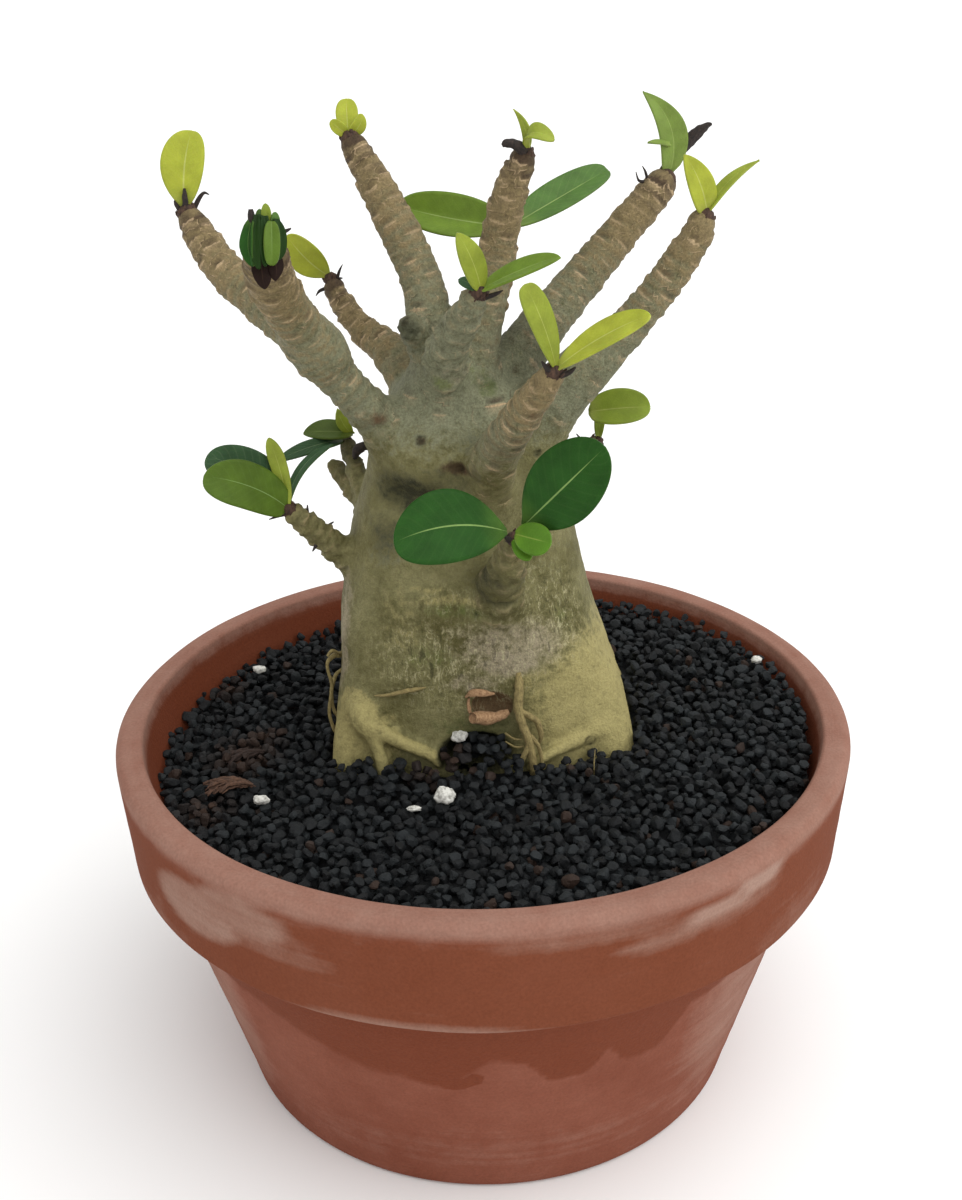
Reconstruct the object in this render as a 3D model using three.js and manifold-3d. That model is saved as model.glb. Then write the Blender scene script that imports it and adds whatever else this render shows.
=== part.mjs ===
// A desert rose (adenium) with a swollen caudex, growing in a low terracotta pan that is dressed with
// black grit. Millimetres, +Z up. The origin is the centre of the pot's foot, on the surface that the
// pot stands on. The plant's front is towards -Y.

import * as THREE from 'three';
import { mergeVertices } from 'three/addons/utils/BufferGeometryUtils.js';
import Module from 'manifold-3d';

const wasm = await Module();
wasm.setup();

// ------------------------------------------------------------------ driving dimensions

const GAP = 0.3; // left between two pieces that lie on each other

const RIM_RADIUS = 100;
const POT_HEIGHT = 106;
const COLLAR_HEIGHT = 32;
const COLLAR_FOOT_RADIUS = 98;
const SHOULDER_RADIUS = 91;
const FOOT_RADIUS = 72;
const LIP_WIDTH = 8;
const LIP_ROUND = 3;
const EDGE_ROUND = 1.5;
const WALL = 7;
const FLOOR = 9;
const DRAIN_RADIUS = 12;
const POT_SIDES = 48;

const MIX_TOP = 88; // where the potting mix ends and the grit begins
const GRIT_LEVEL = 99; // the mean level of the grit over the origin
const GRIT_TILT = 0.055; // rise of the grit towards +X
const PEBBLE_PITCH = 9.6; // the dressing's grains, drawn about twice as large as life
const PEBBLE_HIGH = 0.9;
const PEBBLE_LOW = -1.3;

const BARK_SIDES = 8;
const RING_STEP = 4.4; // from one ring of a branch to the next, which stands proud as a leaf scar does
const RING_SWELL = 0.05;
const TRUNK_SIDES = 30;
const TRUNK_STEP = 7;
const ROOT_SIDES = 7;
const STALK_SIDES = 5;

const BLADE = 0.8; // thickness of a leaf
const PETIOLE = 1.5;
const BUD_HEIGHT = 3.4;

// The caudex from its root end to the crown:
// height, centre x, centre y, half width, half depth, squareness of the section (2 is an ellipse).
const CAUDEX = [
  [58, 0, 11, 10, 8, 2],
  [64, 0, 11, 24, 17, 2.2],
  [76, 0, 11, 36, 25, 2.5],
  [90, 0, 11, 41, 28, 3],
  [101, 0, 11, 39.5, 27.5, 3],
  [121, -2, 11, 37, 27, 2.6],
  [141, -4, 11, 33, 26, 2.2],
  [158, -4, 10, 29, 24, 2],
  [177, -3, 8, 25, 21, 2],
  [187, -4, 8, 21, 18, 2],
  [196, -5, 8, 14, 13, 2],
  [204, -5, 8, 6, 6, 2],
];

// Each branch from the wood it grows out of to its tip: x, y, z, radius.
const BRANCHES = {
  left_fork: [[-8, 8, 172, 11], [-17, 4, 182, 9.5], [-28, -2, 196, 8.5], [-38, -6, 209, 7.3], [-42, -7, 213.5, 6.6]],
  far_left: [[-38, -6, 209, 6.3], [-52, 4, 220, 5.7], [-60, 10, 226, 4.7], [-66, 14, 233, 4.1], [-70.5, 17, 239, 3]],
  left_front: [[-38, -6, 209, 6.3], [-44, -16, 222.5, 5.7], [-46, -27, 232, 5.3], [-45, -37, 242, 4.4]],
  left_back: [[-8, 18, 190, 6.5], [-21, 28, 199, 4.6], [-29, 32, 204, 3.8], [-35, 35, 210, 3.1], [-39, 37, 216, 2.6]],
  centre_left: [[-7, 8, 192, 9], [-12, 10, 212, 6.6], [-14, 13, 222, 5.8], [-23, 20, 241, 4.8], [-30.5, 25, 255, 2.8]],
  centre: [[-3, 5, 194, 9], [1, 5, 212, 6.8], [5, 6, 229, 5.4], [8, 4, 244.5, 4.1], [12.5, 3, 254, 2.6]],
  centre_back: [[2, 7, 210, 5.5], [7, 16, 225, 4.3], [9, 22, 232, 2.6]],
  centre_twig: [[-6, 1, 197, 5.5], [-4, -11, 210, 3.8], [2, -25, 227, 2.2]],
  right_back: [[0, 8, 180, 11], [12, 14, 197, 8.3], [30, 26, 219.5, 6.4], [46, 34, 237.5, 4.4], [50, 36, 242, 3.1]],
  right: [[8, 4, 168, 10], [22, 0, 189, 7], [39, -3, 212, 5.6], [52, -4, 231, 4.1], [55.5, -4, 238.5, 2.9]],
  front: [[0, -4, 168, 10], [5, -22, 187, 6.9], [13, -38, 205, 4.1], [16.5, -44, 214, 2.8]],
  low_front: [[3, -3, 138, 9], [5, -17, 148, 6], [7, -30, 162, 3.6], [9, -37, 170.5, 2.2]],
  low_right: [[12, 10, 153, 6], [21, 12, 161.5, 3.5], [32, 17, 176, 2.1]],
  low_left: [[-22, 11, 135, 8], [-32, 8, 145, 4.8], [-44, 1, 159.5, 3], [-49, -2, 166, 2.3]],
  left_stub: [[-20, 13, 150, 6.5], [-32, 20, 160.5, 4.1], [-43, 29, 169, 2.5]],
  low_back: [[-24, 15, 156, 5], [-31, 18, 164, 3.5], [-36, 25, 173, 2.1]],
};

// The low arch between the front roots, where the caudex stands clear of the grit: centre and radii.
const ARCH = { centre: [-3, -22, 99], radii: [11, 15, 7] };

// Roots that leave the caudex at the grit and dive into it.
const ROOTS = [
  [[-30, -8, 113, 6], [-24, -18, 111, 4], [-17, -24, 105, 2.7], [-9, -29, 97, 1.8]],
  [[-31, -6, 108, 6], [-29, -18, 103, 3.2], [-27, -23, 95, 2]],
  [[-30, 2, 106, 8], [-35, -6, 99, 6], [-37, -10, 90, 4.5]],
  [[9, -12, 122, 3.4], [11, -20, 113, 2.2], [15, -23, 106, 1.7], [16, -25, 97, 1.5]],
  [[26, -8, 104, 4], [20, -19, 102, 2.2], [11, -25, 98, 1.7], [6, -27, 93, 1.5]],
  [[29, 2, 108, 9], [34, -5, 99, 7], [36, -9, 90, 5]],
  [[30, 24, 106, 8], [37, 31, 97, 5], [41, 37, 88, 3]],
  [[-26, 26, 106, 8], [-34, 35, 97, 5], [-38, 40, 87, 3]],
  [[4, 32, 106, 8], [6, 42, 97, 5], [7, 47, 87, 3]],
];

// Stalks of leaves that have dried on: start, end, and both radii.
const DRIED_STALKS = [
  [[12, 3, 251.5, 1.3], [7, 0.5, 255.5, 1]],
  [[48, 36, 237.5, 1.5], [57, 46, 243, 1.3], [63.5, 48, 252.5, 0.9]],
  [[45, 34, 236, 1.3], [42.5, 34, 242.5, 0.9]],
  [[-37.5, 36, 213, 1.3], [-34.5, 36, 219.5, 0.8]],
];

// The leaves at each branch's tip: tip point, width, the way the upper face looks, and its arch.
const SPRAYS = {
  far_left: [
    [[-71, 21, 257.5], 10, [0.2, -1, 0.2], 1],
  ],
  left_front: [
    [[-43.5, -46, 236], 4.6, [-0.1, -0.6, 1], 3.5],
    [[-49.5, -43, 235], 5.5, [-0.7, -0.5, 0.8], 3.5],
    [[-44.5, -41, 250], 4, [0, -1, 0.2], 0],
  ],
  left_back: [
    [[-50, 34, 228], 7.5, [-0.4, -0.9, 0.3], 1],
  ],
  centre_left: [
    [[-31, 32, 263], 4.6, [0, -1, 0.3], 0],
    [[-26.5, 27, 260], 3.8, [0.8, -0.8, 0.3], 0.5],
    [[-34.5, 25, 258.3], 3.2, [-0.6, -1, 0.5], 0.5],
  ],
  centre: [
    [[10.5, 6, 262.5], 2.4, [-0.5, -1, 0], 1],
    [[19.5, -2, 259], 4.2, [-0.4, -0.6, 1], 1],
  ],
  centre_back: [
    [[-18, 33, 238], 11, [-0.3, -0.7, 0.9], 0],
    [[35.5, 36, 243], 9.5, [-0.2, -0.7, 0.8], 0.8],
  ],
  centre_twig: [
    [[-3.7, -29, 241], 5, [0.4, -1, 0.3], 1],
    [[18.5, -31, 234], 7, [-0.3, -0.6, 1], 0.6],
    [[-4, -20, 229.5], 3.6, [-0.2, -0.8, 1], 0.5],
  ],
  right_back: [
    [[44.5, 38, 262.5], 8.5, [0.8, -0.8, 0.2], 4],
  ],
  right: [
    [[48.5, -7, 255], 6.5, [0.3, -1, 0.2], 1],
    [[67.5, -2, 252], 3.4, [-0.7, -0.6, 0.7], 2],
  ],
  front: [
    [[9.5, -50, 234.5], 7, [0.3, -1, 0.3], 1],
    [[36.3, -51, 226.5], 8.4, [-0.3, -0.7, 0.9], 0.6],
  ],
  low_front: [
    [[-19.5, -44, 172], 15, [-0.1, -0.75, 0.8], 2.5],
    [[29.5, -46, 195.5], 17, [-0.5, -1, 0.4], 2],
    [[17, -46, 171.5], 6, [0, -1, 0.5], 0.5],
  ],
  low_right: [
    [[45, 14, 188], 12, [-0.6, -0.9, 0.5], 1.5],
  ],
  low_left: [
    [[-69.3, -8, 177.5], 17, [0, -0.7, 0.8], 2.5],
    [[-54, 5, 181], 4.5, [0, -1, 0.2], 0.5],
    [[-37, -8, 184], 3.4, [-0.7, -0.3, 0.8], 6],
  ],
  low_back: [
    [[-47, 27, 178], 7, [0, -0.5, 1], 1.5],
    [[-36, 22, 185.5], 4.2, [0, -1, 0.3], 0.5],
    [[-53, 16, 172], 4.5, [-0.3, -0.7, 0.9], 2],
  ],
};

// Loose pieces on the grit: where they lie, and their length, width and thickness.
const PERLITE = [
  { x: -10, y: -38, size: [5.2, 4.4, 4] },
  { x: -6, y: -14, size: [4.2, 3.6, 3.4] },
  { x: -18, y: -40, size: [3, 2.4, 2.2] },
  { x: -58, y: -32, size: [4.2, 2.6, 2.4] },
  { x: -68, y: 43, size: [4, 3, 2.4] },
  { x: 81, y: 28, size: [3, 2.4, 2.2] },
];
const BARK_CHIPS = [
  { x: -68, y: -23, turn: 0.15, size: [14, 6, 1.6] },
  { x: -66, y: -3, turn: 0.45, size: [12, 5, 1.4] },
];

// ------------------------------------------------------------------ materials

const finish = (color, roughness) => new THREE.MeshStandardMaterial({ color, roughness, metalness: 0 });

const TERRACOTTA = finish(0x9a5442, 0.9);
const POTTING_MIX = finish(0x3b2a20, 1);
const GRIT = finish(0x1d1e20, 0.8);
const BARK = finish(0x84805c, 0.7);
const YOUNG_LEAF = finish(0xa3b83c, 0.45);
const OLD_LEAF = finish(0x2f6a2c, 0.35);
const WHITE_GRAIN = finish(0xe6e4de, 0.9);
const DEAD_BARK = finish(0x6b3a25, 0.9);

const LEAF_FINISH = {
  left_front: OLD_LEAF, centre_back: OLD_LEAF, low_front: OLD_LEAF, low_left: OLD_LEAF, low_back: OLD_LEAF,
};

// ------------------------------------------------------------------ helpers

const { lerp, smoothstep } = THREE.MathUtils;
const vector = (point) => new THREE.Vector3(point[0], point[1], point[2]);

/** A closed mesh as a solid that can be joined and cut. */
function toSolid(geometry) {
  const bare = geometry.clone();
  bare.deleteAttribute('normal');
  bare.deleteAttribute('uv');
  const merged = mergeVertices(bare, 1e-4);
  return new wasm.Manifold(new wasm.Mesh({
    numProp: 3,
    vertProperties: new Float32Array(merged.attributes.position.array),
    triVerts: new Uint32Array(merged.index.array),
  }));
}

/** A solid as a geometry. */
function toGeometry(solid) {
  const mesh = solid.getMesh();
  const geometry = new THREE.BufferGeometry();
  geometry.setAttribute('position', new THREE.BufferAttribute(mesh.vertProperties, 3));
  geometry.setIndex(new THREE.BufferAttribute(mesh.triVerts, 1));
  geometry.computeVertexNormals();
  return geometry;
}

const joined = (solids) => solids.reduce((whole, solid) => whole.add(solid));

/** Points on an arc about (x, z), with angles in degrees. */
function arc(x, z, radius, from, to, steps) {
  return Array.from({ length: steps + 1 }, (_, i) => {
    const angle = THREE.MathUtils.degToRad(lerp(from, to, i / steps));
    return new THREE.Vector2(x + radius * Math.cos(angle), z + radius * Math.sin(angle));
  });
}

/** A profile of radius and height, turned about Z. */
function turned(profile, sides) {
  return new THREE.LatheGeometry(profile, sides).rotateX(Math.PI / 2);
}

/** A smooth value along rows of numbers, at 0 to 1 between the first row and the last. */
function along(rows, column, t) {
  const at = t * (rows.length - 1);
  const i = Math.min(Math.floor(at), rows.length - 2);
  const value = (k) => rows[THREE.MathUtils.clamp(k, 0, rows.length - 1)][column];
  const [before, from, to, after] = [value(i - 1), value(i), value(i + 1), value(i + 2)];
  const f = at - i;
  return from + 0.5 * f * (to - before + f * (2 * before - 5 * from + 4 * to - after
    + f * (3 * (from - to) + after - before)));
}

/** A round stem along points of x, y, z and radius: a cylinder bent to the curve, ringed by swells. */
function stem(rows, sides, swell, grow = 0) {
  const curve = new THREE.CatmullRomCurve3(rows.map(vector), false, 'centripetal');
  const rings = Math.max(3, Math.round(curve.getLength() / (swell ? RING_STEP : 2 * RING_STEP)));
  const frames = curve.computeFrenetFrames(rings, false);
  const geometry = new THREE.CylinderGeometry(1, 1, 1, sides, rings);
  const position = geometry.attributes.position;
  const point = new THREE.Vector3();
  for (let i = 0; i < position.count; i++) {
    const ring = Math.round((position.getY(i) + 0.5) * rings);
    const ringed = ring > 0 && ring < rings && ring % 2 ? 1 + swell : 1;
    const t = curve.getUtoTmapping(ring / rings);
    const radius = along(rows, 3, t) * ringed + grow;
    point.copy(curve.getPoint(t));
    if (ring === rings) point.addScaledVector(frames.tangents[ring], grow);
    point.addScaledVector(frames.normals[ring], position.getX(i) * radius);
    point.addScaledVector(frames.binormals[ring], -position.getZ(i) * radius);
    position.setXYZ(i, point.x, point.y, point.z);
  }
  return geometry;
}

// ------------------------------------------------------------------ pot

const COLLAR_FOOT = POT_HEIGHT - COLLAR_HEIGHT;

/** Inner radius of the pot at a height above its floor. */
function cavityRadius(z) {
  if (z < COLLAR_FOOT) {
    return lerp(FOOT_RADIUS - WALL, SHOULDER_RADIUS - WALL, (z - FLOOR) / (COLLAR_FOOT - FLOOR));
  }
  return lerp(SHOULDER_RADIUS - WALL, RIM_RADIUS - LIP_WIDTH, (z - COLLAR_FOOT) / COLLAR_HEIGHT);
}

/** The thrown pan: foot, tapering body, thick collar and rounded lip, with one drain hole. */
function potGeometry() {
  const v = (r, z) => new THREE.Vector2(r, z);
  const profile = [
    v(DRAIN_RADIUS, 0),
    ...arc(FOOT_RADIUS - LIP_ROUND, LIP_ROUND, LIP_ROUND, -90, 0, 2),
    v(SHOULDER_RADIUS, COLLAR_FOOT),
    ...arc(COLLAR_FOOT_RADIUS - EDGE_ROUND, COLLAR_FOOT + EDGE_ROUND, EDGE_ROUND, -90, 0, 1),
    ...arc(RIM_RADIUS - LIP_ROUND, POT_HEIGHT - LIP_ROUND, LIP_ROUND, 0, 90, 3),
    ...arc(RIM_RADIUS - LIP_WIDTH + EDGE_ROUND, POT_HEIGHT - EDGE_ROUND, EDGE_ROUND, 90, 180, 2),
    v(cavityRadius(COLLAR_FOOT), COLLAR_FOOT),
    v(cavityRadius(FLOOR + LIP_ROUND), FLOOR + LIP_ROUND),
    v(cavityRadius(FLOOR) - LIP_ROUND, FLOOR),
    v(DRAIN_RADIUS, FLOOR),
    v(DRAIN_RADIUS, 0),
  ];
  return turned(profile, POT_SIDES);
}

/** The filling of the pot between two heights, clear of its wall. */
function fillSolid(bottom, top) {
  const inside = (z) => new THREE.Vector2(cavityRadius(z) - GAP, z);
  const corners = [bottom + LIP_ROUND, COLLAR_FOOT].filter((z) => z > bottom && z < top);
  const base = bottom < COLLAR_FOOT ? new THREE.Vector2(cavityRadius(bottom) - LIP_ROUND, bottom) : inside(bottom);
  const profile = [
    new THREE.Vector2(0, bottom), base, ...corners.map(inside), inside(top), new THREE.Vector2(0, top),
  ];
  return toSolid(turned(profile, POT_SIDES));
}

// ------------------------------------------------------------------ caudex

/** The swollen trunk: a cylinder whose rings follow the sections of CAUDEX. */
function trunkGeometry(grow = 0) {
  const [bottom, top] = [CAUDEX[0][0], CAUDEX[CAUDEX.length - 1][0]];
  const rings = Math.round((top - bottom) / TRUNK_STEP);
  const geometry = new THREE.CylinderGeometry(1, 1, 1, TRUNK_SIDES, rings);
  geometry.rotateX(Math.PI / 2);
  const position = geometry.attributes.position;
  for (let i = 0; i < position.count; i++) {
    const height = lerp(bottom, top, position.getZ(i) + 0.5);
    const next = Math.max(1, CAUDEX.findIndex((row) => row[0] >= height - 1e-6));
    const [low, high] = [CAUDEX[next - 1][0], CAUDEX[next][0]];
    const t = (next - 1 + (height - low) / (high - low)) / (CAUDEX.length - 1);
    const [x, y, width, depth, squareness] = [1, 2, 3, 4, 5].map((column) => along(CAUDEX, column, t));
    const [u, v] = [position.getX(i), position.getY(i)];
    const reach = (Math.abs(u) ** squareness + Math.abs(v) ** squareness) ** (1 / squareness) || 1;
    const out = Math.hypot(u, v) / reach;
    const end = height === bottom ? -grow : 0;
    position.setXYZ(i, x + u * out * (width + grow), y + v * out * (depth + grow), height + end);
  }
  return geometry;
}

/** The trunk and its roots, grown by a clearance for the hole that they stand in. */
function rootSolid(grow = 0) {
  const arch = new THREE.IcosahedronGeometry(1, 2);
  arch.scale(...ARCH.radii.map((radius) => radius - grow)).translate(...ARCH.centre);
  const roots = ROOTS.map((rows) => toSolid(stem(rows, ROOT_SIDES, 0, grow)));
  return joined([toSolid(trunkGeometry(grow)).subtract(toSolid(arch)), ...roots]);
}

/** The plant's wood, grown as one: trunk, roots, branches and the stalks of dried leaves. */
function woodGeometry() {
  const branches = Object.values(BRANCHES).map((rows) => toSolid(stem(rows, BARK_SIDES, RING_SWELL)));
  const stalks = DRIED_STALKS.map((rows) => toSolid(stem(rows, STALK_SIDES, 0)));
  return toGeometry(joined([rootSolid(), ...branches, ...stalks]));
}

// ------------------------------------------------------------------ leaves

/** Half width of an obovate leaf at 0 to 1 from stalk to tip, for a full width of 2. */
function leafOutline(t) {
  const blade = Math.sqrt(Math.max(0, 1 - (2 * t ** 1.5 - 1) ** 2));
  return blade * lerp(0.35, 1, smoothstep(t, 0, 0.45));
}

/** One leaf blade, its two faces split into triangles alike, with a wall round the edge. */
function bladeGeometry(from, [tip, width, facing, arch]) {
  const end = vector(tip);
  const run = end.clone().sub(from);
  const heading = run.clone().normalize();
  const up = vector(facing);
  up.addScaledVector(heading, -up.dot(heading)).normalize();
  const side = heading.clone().cross(up);
  const columns = width > 8 ? 4 : 2;
  const stations = width > 8 ? 7 : 5;
  const flat = new THREE.PlaneGeometry(2, 1, columns, stations);
  const grid = flat.attributes.position;
  const points = [];
  for (const face of [0.5, -0.5]) {
    for (let i = 0; i < grid.count; i++) {
      const t = (grid.getY(i) + 0.5) ** 0.9;
      const half = Math.max(leafOutline(t) * width / 2, lerp(PETIOLE, BLADE, t) / 2);
      const across = grid.getX(i);
      const lift = arch * 4 * t * (1 - t) + 0.18 * half * Math.abs(across) + face * BLADE;
      const point = from.clone().addScaledVector(run, t);
      point.addScaledVector(side, across * half).addScaledVector(up, lift);
      points.push(point.x, point.y, point.z);
    }
  }
  const index = [];
  const triangles = flat.index.array;
  for (let i = 0; i < triangles.length; i += 3) {
    const [a, b, c] = triangles.subarray(i, i + 3);
    index.push(a, b, c, a + grid.count, c + grid.count, b + grid.count);
  }
  const row = columns + 1;
  const edge = [
    ...Array.from({ length: columns }, (_, i) => i),
    ...Array.from({ length: stations }, (_, i) => columns + i * row),
    ...Array.from({ length: columns }, (_, i) => grid.count - 1 - i),
    ...Array.from({ length: stations }, (_, i) => (stations - i) * row),
  ];
  edge.forEach((a, i) => {
    const b = edge[(i + 1) % edge.length];
    index.push(a, b, b + grid.count, a, b + grid.count, a + grid.count);
  });
  const geometry = new THREE.BufferGeometry();
  geometry.setAttribute('position', new THREE.Float32BufferAttribute(points, 3));
  geometry.setIndex(index);
  return geometry;
}

/** The leaves of one branch, on the bud that stands on its tip. */
function sprayGeometry(name, leaves) {
  const rows = BRANCHES[name];
  const curve = new THREE.CatmullRomCurve3(rows.map(vector), false, 'centripetal');
  const heading = curve.getTangent(1);
  const radius = rows[rows.length - 1][3];
  const tip = curve.getPoint(1);
  const bud = new THREE.CylinderGeometry(radius * 0.45, radius * 0.85, BUD_HEIGHT, 7);
  bud.translate(0, GAP + BUD_HEIGHT / 2, 0);
  bud.applyQuaternion(new THREE.Quaternion().setFromUnitVectors(new THREE.Vector3(0, 1, 0), heading));
  bud.translate(tip.x, tip.y, tip.z);
  const from = tip.clone().addScaledVector(heading, GAP + BUD_HEIGHT * 0.6);
  const blades = leaves.map((leaf) => toSolid(bladeGeometry(from, leaf)));
  return toGeometry(joined([toSolid(bud), ...blades]));
}

// ------------------------------------------------------------------ grit and what lies on it

/** A lattice of points in rows, every third of them the top of a pebble. */
const pebbleStep = PEBBLE_PITCH / Math.sqrt(3);
const pebbleRow = pebbleStep * Math.sqrt(3) / 2;
const latticeRows = Math.ceil(RIM_RADIUS / pebbleRow);
const latticeColumns = Math.ceil(RIM_RADIUS / pebbleStep) + 1;

/** Height of the grit at lattice point (column, row). */
function latticePoint(column, row) {
  const odd = Math.abs(row) % 2;
  const isTop = THREE.MathUtils.euclideanModulo(column + odd * 2, 3) === 0;
  const scatter = Math.sin(column * 12.9898 + row * 78.233) * 43758.5453;
  const random = scatter - Math.floor(scatter);
  const x = (column + odd / 2) * pebbleStep;
  const y = row * pebbleRow;
  const relief = isTop ? PEBBLE_HIGH * (0.6 + 0.8 * random) : PEBBLE_LOW + 0.4 * random;
  return new THREE.Vector3(x, y, GRIT_LEVEL + GRIT_TILT * x + relief);
}

/** The space over the pebbles, up to a height over the whole pot. */
function airSolid(ceiling) {
  const wide = 2 * latticeColumns + 1;
  const high = 2 * latticeRows + 1;
  const floor = [];
  for (let row = -latticeRows; row <= latticeRows; row++) {
    for (let column = -latticeColumns; column <= latticeColumns; column++) {
      floor.push(latticePoint(column, row));
    }
  }
  const index = [];
  for (let row = 0; row < high - 1; row++) {
    const odd = (row + latticeRows) % 2;
    for (let column = 0; column < wide - 1; column++) {
      const a = row * wide + column;
      const [b, c, d] = [a + 1, a + wide, a + wide + 1];
      index.push(...(odd ? [a, d, b, a, c, d] : [a, c, b, b, c, d]));
    }
  }
  const over = floor.length;
  const positions = [...floor, ...floor.map((p) => new THREE.Vector3(p.x, p.y, ceiling))];
  const floorTriangles = index.length;
  for (let i = 0; i < floorTriangles; i += 3) {
    index.push(index[i] + over, index[i + 2] + over, index[i + 1] + over);
  }
  const edge = [
    ...Array.from({ length: wide - 1 }, (_, i) => i),
    ...Array.from({ length: high - 1 }, (_, i) => wide - 1 + i * wide),
    ...Array.from({ length: wide - 1 }, (_, i) => wide * high - 1 - i),
    ...Array.from({ length: high - 1 }, (_, i) => (high - 1 - i) * wide),
  ];
  edge.forEach((a, i) => {
    const b = edge[(i + 1) % edge.length];
    index.push(a, b, b + over, a, b + over, a + over);
  });
  const geometry = new THREE.BufferGeometry().setFromPoints(positions);
  geometry.setIndex(index);
  return toSolid(geometry);
}

/** The two triangles of the lattice cell at (column, row). */
function latticeCell(column, row) {
  const [a, b] = [latticePoint(column, row), latticePoint(column + 1, row)];
  const [c, d] = [latticePoint(column, row + 1), latticePoint(column + 1, row + 1)];
  return row % 2 ? [[a, b, d], [a, d, c]] : [[a, b, c], [b, d, c]];
}

/** Height of the pebbled surface over (x, y). */
function gritHeight(x, y) {
  const flat = (p) => new THREE.Vector3(p.x, p.y, 0);
  const row = Math.floor(y / pebbleRow);
  const near = [-2, -1, 0, 1].map((shift) => Math.floor(x / pebbleStep) + shift);
  const corners = near.flatMap((column) => latticeCell(column, row))
    .find((cell) => THREE.Triangle.containsPoint(new THREE.Vector3(x, y, 0), ...cell.map(flat)));
  const share = THREE.Triangle.getBarycoord(new THREE.Vector3(x, y, 0), ...corners.map(flat), new THREE.Vector3());
  return share.dot(new THREE.Vector3(...corners.map((p) => p.z)));
}

/** Highest point of the pebbles under a round piece of the given radius. */
function restLevel(x, y, radius) {
  const [column, row] = [Math.round(x / pebbleStep), Math.round(y / pebbleRow)];
  const heights = [gritHeight(x, y)];
  for (let i = -3; i <= 3; i++) {
    const tops = [-3, -2, -1, 0, 1, 2, 3].map((j) => latticePoint(column + j, row + i));
    heights.push(...tops.filter((p) => Math.hypot(p.x - x, p.y - y) < radius).map((p) => p.z));
  }
  for (const reach of [0.5 * radius, radius]) {
    for (let turn = 0; turn < 2 * Math.PI; turn += Math.PI / 6) {
      heights.push(gritHeight(x + reach * Math.cos(turn), y + reach * Math.sin(turn)));
    }
  }
  return Math.max(...heights);
}

/** One white grain, an uneven ball that rests on the pebbles. */
function grainGeometry({ x, y, size }) {
  const geometry = mergeVertices(new THREE.IcosahedronGeometry(0.5, 1).deleteAttribute('normal').deleteAttribute('uv'));
  const position = geometry.attributes.position;
  for (let i = 0; i < position.count; i++) {
    const uneven = 1 + 0.12 * Math.sin(i * 2.4 + x);
    position.setXYZ(i, position.getX(i) * uneven, position.getY(i) * uneven, Math.max(position.getZ(i), -0.38));
  }
  geometry.scale(...size);
  return geometry.translate(x, y, restLevel(x, y, 0.4 * size[0]) + GAP + 0.38 * size[2]);
}

/** One chip of dead bark, lying flat. */
function chipGeometry({ x, y, turn, size: [length, width, thickness] }) {
  const outline = new THREE.Shape();
  outline.moveTo(-length / 2, -width * 0.2);
  outline.quadraticCurveTo(0, -width * 0.75, length / 2, -width * 0.1);
  outline.lineTo(length * 0.42, width * 0.3);
  outline.quadraticCurveTo(0, width * 0.55, -length * 0.45, width * 0.35);
  outline.closePath();
  const geometry = new THREE.ExtrudeGeometry(outline, { depth: thickness, bevelEnabled: false, curveSegments: 5 });
  return geometry.rotateZ(turn).translate(x, y, restLevel(x, y, length / 2) + GAP);
}

// ------------------------------------------------------------------ the object

const desertRose = new THREE.Group();

/** Adds one named piece. */
function piece(name, geometry, material) {
  const mesh = new THREE.Mesh(geometry, material);
  mesh.name = name;
  desertRose.add(mesh);
}

const plantHole = rootSolid(GAP);
const mix = fillSolid(FLOOR + GAP, MIX_TOP - GAP).subtract(plantHole);
const dressing = fillSolid(MIX_TOP, POT_HEIGHT).subtract(airSolid(POT_HEIGHT + GRIT_LEVEL)).subtract(plantHole);

piece('pot', potGeometry(), TERRACOTTA);
piece('potting_mix', toGeometry(mix), POTTING_MIX);
piece('grit_dressing', toGeometry(dressing), GRIT);
piece('caudex', woodGeometry(), BARK);
for (const [name, leaves] of Object.entries(SPRAYS)) {
  piece(`leaves_${name}`, sprayGeometry(name, leaves), LEAF_FINISH[name] ?? YOUNG_LEAF);
}
PERLITE.forEach((grain, i) => piece(`perlite_${i + 1}`, grainGeometry(grain), WHITE_GRAIN));
BARK_CHIPS.forEach((chip, i) => piece(`bark_chip_${i + 1}`, chipGeometry(chip), DEAD_BARK));

export default desertRose;
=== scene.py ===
"""Looks of a potted desert rose adenium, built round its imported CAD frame.

Shapes are worked out in millimetres and written to their meshes in metres. +Z is up, the origin is the
centre of the pot's foot, and the plant's front is towards -Y.
"""

import logging
import math
from dataclasses import dataclass, field
from enum import Enum
from functools import partial
from typing import Callable, ClassVar, Sequence

import bmesh
import bpy
import numpy as np
from mathutils import Euler, Matrix, Vector, noise


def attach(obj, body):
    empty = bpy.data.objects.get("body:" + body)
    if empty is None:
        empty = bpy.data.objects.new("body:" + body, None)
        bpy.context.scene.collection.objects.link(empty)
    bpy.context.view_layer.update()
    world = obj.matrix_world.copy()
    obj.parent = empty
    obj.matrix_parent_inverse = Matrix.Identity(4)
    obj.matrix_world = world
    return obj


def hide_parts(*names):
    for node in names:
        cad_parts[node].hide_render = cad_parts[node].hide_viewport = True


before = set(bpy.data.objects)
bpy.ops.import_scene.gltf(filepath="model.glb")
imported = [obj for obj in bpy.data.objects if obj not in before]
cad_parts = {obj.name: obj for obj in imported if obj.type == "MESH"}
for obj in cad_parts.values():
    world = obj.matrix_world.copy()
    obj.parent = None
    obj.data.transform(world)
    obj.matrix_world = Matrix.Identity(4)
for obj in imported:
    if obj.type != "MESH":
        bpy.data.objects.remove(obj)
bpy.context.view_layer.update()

LOG = logging.getLogger("desert_rose")
MM = 0.001
FULL_TURN = 6.28  # radians, where a draw need not close to the last digit
Point = tuple[float, float, float]
Row = tuple[float, ...]
Socket = bpy.types.NodeSocket
Add = Callable[..., Socket]


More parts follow.
